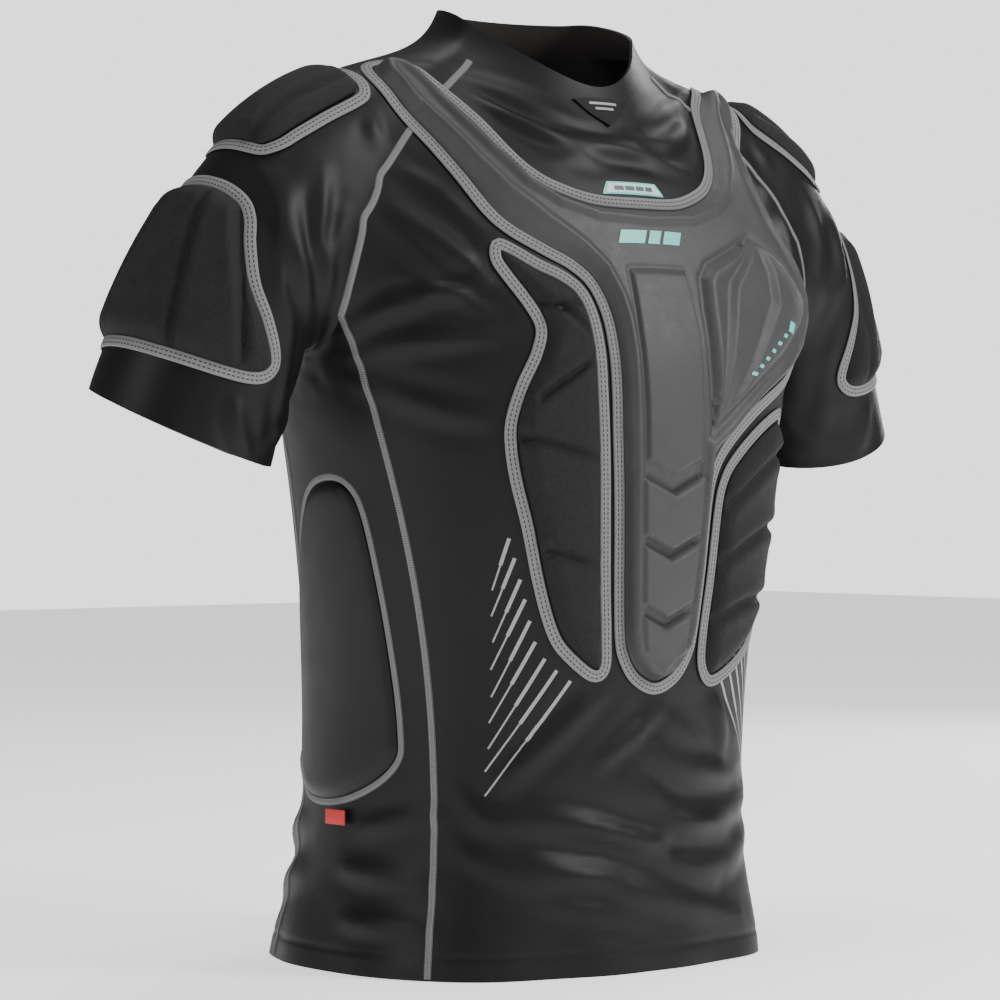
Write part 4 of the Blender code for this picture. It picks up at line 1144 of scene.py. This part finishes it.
def printed(name, outlines, lay, lift, thickness, finish, step=2.0):
    """Flat shapes that lie on a surface: each outline is filled, laid down and given its thickness."""
    whole = bmesh.new()
    for outline in outlines:
        outline = np.array(outline, float)
        dense = []
        for start, end in zip(outline, np.roll(outline, -1, axis=0)):
            count = max(int(np.linalg.norm(end - start) / (step * MM)), 1)
            dense += [start + (end - start) * k / count for k in range(count)]
        dense = np.array(dense)
        low, high = dense.min(0), dense.max(0)
        grid = np.stack(np.meshgrid(np.arange(low[0], high[0], step * MM), np.arange(low[1], high[1], step * MM)), -1)
        grid = grid.reshape(-1, 2)
        grid = grid[within(grid, dense) > 0.5 * step * MM]
        points = [Vector(p) for p in np.vstack([dense, grid])]
        flat, _, faces, _, _, _ = delaunay_2d_cdt(points, [], [list(range(len(dense)))], 1, 1e-6)
        rise = lift(np.array([p[:] for p in flat]))
        laid = [lay(*p) for p in flat]
        verts = [whole.verts.new(spot + up * float(h)) for (spot, up), h in zip(laid, rise)]
        made = [whole.faces.new([verts[i] for i in face]) for face in faces]
        bmesh.ops.recalc_face_normals(whole, faces=made)
        whole.normal_update()
        if sum(f.normal.dot(laid[0][1]) for f in made) < 0:
            bmesh.ops.reverse_faces(whole, faces=made)
    bmesh.ops.solidify(whole, geom=list(whole.faces), thickness=-thickness)
    bmesh.ops.recalc_face_normals(whole, faces=whole.faces)
    return new_piece(name, whole, finish)


def slanted(x, y, width, height, lean):
    """A bar whose ends lean."""
    return tuple((x + i * width / 2 + j * lean / 2, y + j * height / 2) for i, j in ((-1, -1), (1, -1), (1, 1), (-1, 1)))


plate_edge = tape_inside(plate_line)[1]


def on_plate(flat):
    return plate_relief(flat, np.maximum(within(flat, plate_edge), 0)) + 0.15 * MM


def on_cloth(height):
    return lambda flat: np.full(len(flat), height * MM)


turquoise = print_finish("turquoise_print", (0.10, 0.46, 0.39), (0.16, 0.60, 0.52))
pale_print = print_finish("pale_print", (0.42, 0.60, 0.56), (0.55, 0.70, 0.66))
grey_print = print_finish("grey_print", (0.22, 0.22, 0.225), (0.32, 0.32, 0.325))
dark_print = print_finish("dark_print", (0.02, 0.05, 0.05), (0.03, 0.07, 0.07))
chest_bars = [slanted(x * MM, 0.0745, w * MM, 0.0088, 0.0042) for x, w in ((-16.5, 22), (2.5, 10), (18.0, 15))]
chest_bars_piece = printed("chest_bars", chest_bars, lay_chest, on_plate, 0.35 * MM, turquoise, 1.6)
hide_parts("chest_mark")
wing_bar = printed(
    "wing_bar", [slanted(0.1260, 0.0300, 0.0070, 0.0060, 0.0030)], lay_chest, on_plate, 0.35 * MM, turquoise,
    1.4,
)
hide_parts("wing_mark")
wing_dashes = [slanted(0.0770 + 0.0080 * k, -0.0055 + 0.0058 * k, 0.0046, 0.0022, 0.0022) for k in range(6)]
printed("wing_dashes", wing_dashes, lay_chest, on_plate, 0.3 * MM, turquoise, 1.4)
TAB = ((-0.0270, 0.1062), (0.0270, 0.1062), (0.0258, 0.1090), (0.0215, 0.1150), (-0.0215, 0.1150), (-0.0258, 0.1090))
TAB_FACE = ((-0.0245, 0.1072), (0.0245, 0.1072), (0.0236, 0.1090), (0.0203, 0.1138), (-0.0203, 0.1138), (-0.0236, 0.1090))
tab = printed("neckline_tab", [TAB], lay_chest, on_cloth(0.1), 0.9 * MM, turquoise)
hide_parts("neck_tab")
printed("neckline_tab_face", [TAB_FACE], lay_chest, on_cloth(1.05), 0.25 * MM, pale_print)
tab_bars = [slanted(x * MM, 0.1104, w * MM, 0.0030, 0.0) for x, w in ((-12.5, 8), (-3.0, 8), (6.0, 7), (14.0, 6))]
printed("neckline_tab_bars", tab_bars, lay_chest, on_cloth(1.35), 0.2 * MM, dark_print)
COLLAR_POINT = ((0, 0.159), (0.013, 0.168), (0.024, 0.180), (0.0, 0.181), (-0.024, 0.180), (-0.013, 0.168))
point_cloth = jersey("collar_point_cloth", (0.002, 0.002, 0.0022), (0.004, 0.004, 0.0042), 0.55, 0.2)
collar_point = printed("collar_point", [COLLAR_POINT], lay_chest, on_cloth(0.2), 1.2 * MM, point_cloth, 3.0)
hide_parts("collar_patch")
collar_bars = [slanted(0, 0.1765, 0.024, 0.0018, 0.0), slanted(0, 0.1725, 0.016, 0.0018, 0.0)]
printed("collar_bars", collar_bars, lay_chest, on_cloth(1.5), 0.2 * MM, grey_print)

# Side prints: slim grey strokes printed on the cloth in a fan beside each rib pad, stepped down towards the
# middle of the body. Each is a low strip, narrow at both ends.
STROKES_RIGHT = (
    ((-0.112, -0.116, 0.290), (-0.119, -0.107, 0.256)), ((-0.108, -0.117, 0.277), (-0.118, -0.105, 0.239)),
    ((-0.104, -0.118, 0.263), (-0.116, -0.104, 0.222)), ((-0.100, -0.118, 0.250), (-0.116, -0.102, 0.204)),
    ((-0.096, -0.118, 0.236), (-0.114, -0.100, 0.186)), ((-0.092, -0.119, 0.222), (-0.115, -0.099, 0.169)),
    ((-0.085, -0.120, 0.211), (-0.115, -0.098, 0.152)), ((-0.077, -0.123, 0.203), (-0.116, -0.096, 0.137)),
    ((-0.067, -0.125, 0.196), (-0.116, -0.096, 0.121)),
)
STROKE_SECTION = ((-1.0, 0.16), (1.0, 0.16), (1.0, 0.05), (-1.0, 0.05))
# Each stroke is a broad upper part and a fine tail: where each starts and ends, and its half width in mm
STROKE_PARTS = ((0.0, 0.52, 1.25), (0.50, 1.0, 0.6))
for word, side in (("right", -1), ("left", 1)):
    strokes = bmesh.new()
    turn = Vector((-side, 1, 1))
    for top, bottom in STROKES_RIGHT:
        top, bottom = Vector(top) * turn, Vector(bottom) * turn
        for start, end, half in STROKE_PARTS:
            line = [tuple(top.lerp(bottom, start + (end - start) * k / 14)) for k in range(15)]
            stroke = bpy.data.meshes.new("stroke")
            band_mesh(line, half * MM, STROKE_SECTION, False, worn_tree, worn).to_mesh(stroke)
            strokes.from_mesh(stroke)
            bpy.data.meshes.remove(stroke)
    new_piece(f"side_print_{word}", strokes, grey_print)

# Red tag: a small blank woven label sewn into the foot of the wearer's right side pad, made as a block with
# softened edges that fills the CAD tag's box.
label_cloth, nodes, link, shader = new_finish("label_cloth", 0.6)
place = nodes.new("ShaderNodeTexCoord").outputs["Object"]
link(shade(nodes, link, noise(nodes, link, place, 500.0), (0.42, 0.012, 0.016), (0.62, 0.03, 0.035)),
     shader.inputs["Base Color"])
bumped(nodes, link, shader, noise(nodes, link, place, 1600.0), 0.0002)
low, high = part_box("side_tag")
low, high = Vector(low), Vector(high)
bm = bmesh.new()
bmesh.ops.create_cube(bm, size=1)
for v in bm.verts:
    v.co = Vector(((low[k] + high[k]) / 2 + v.co[k] * (high[k] - low[k]) for k in range(3)))
bmesh.ops.bevel(
    bm, geom=list(bm.edges), offset=0.25 * MM, offset_type="OFFSET", segments=2, profile=0.5, affect="EDGES", material=-1
)
label = new_piece("side_label", bm, label_cloth, "side_tag")
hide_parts("side_tag")
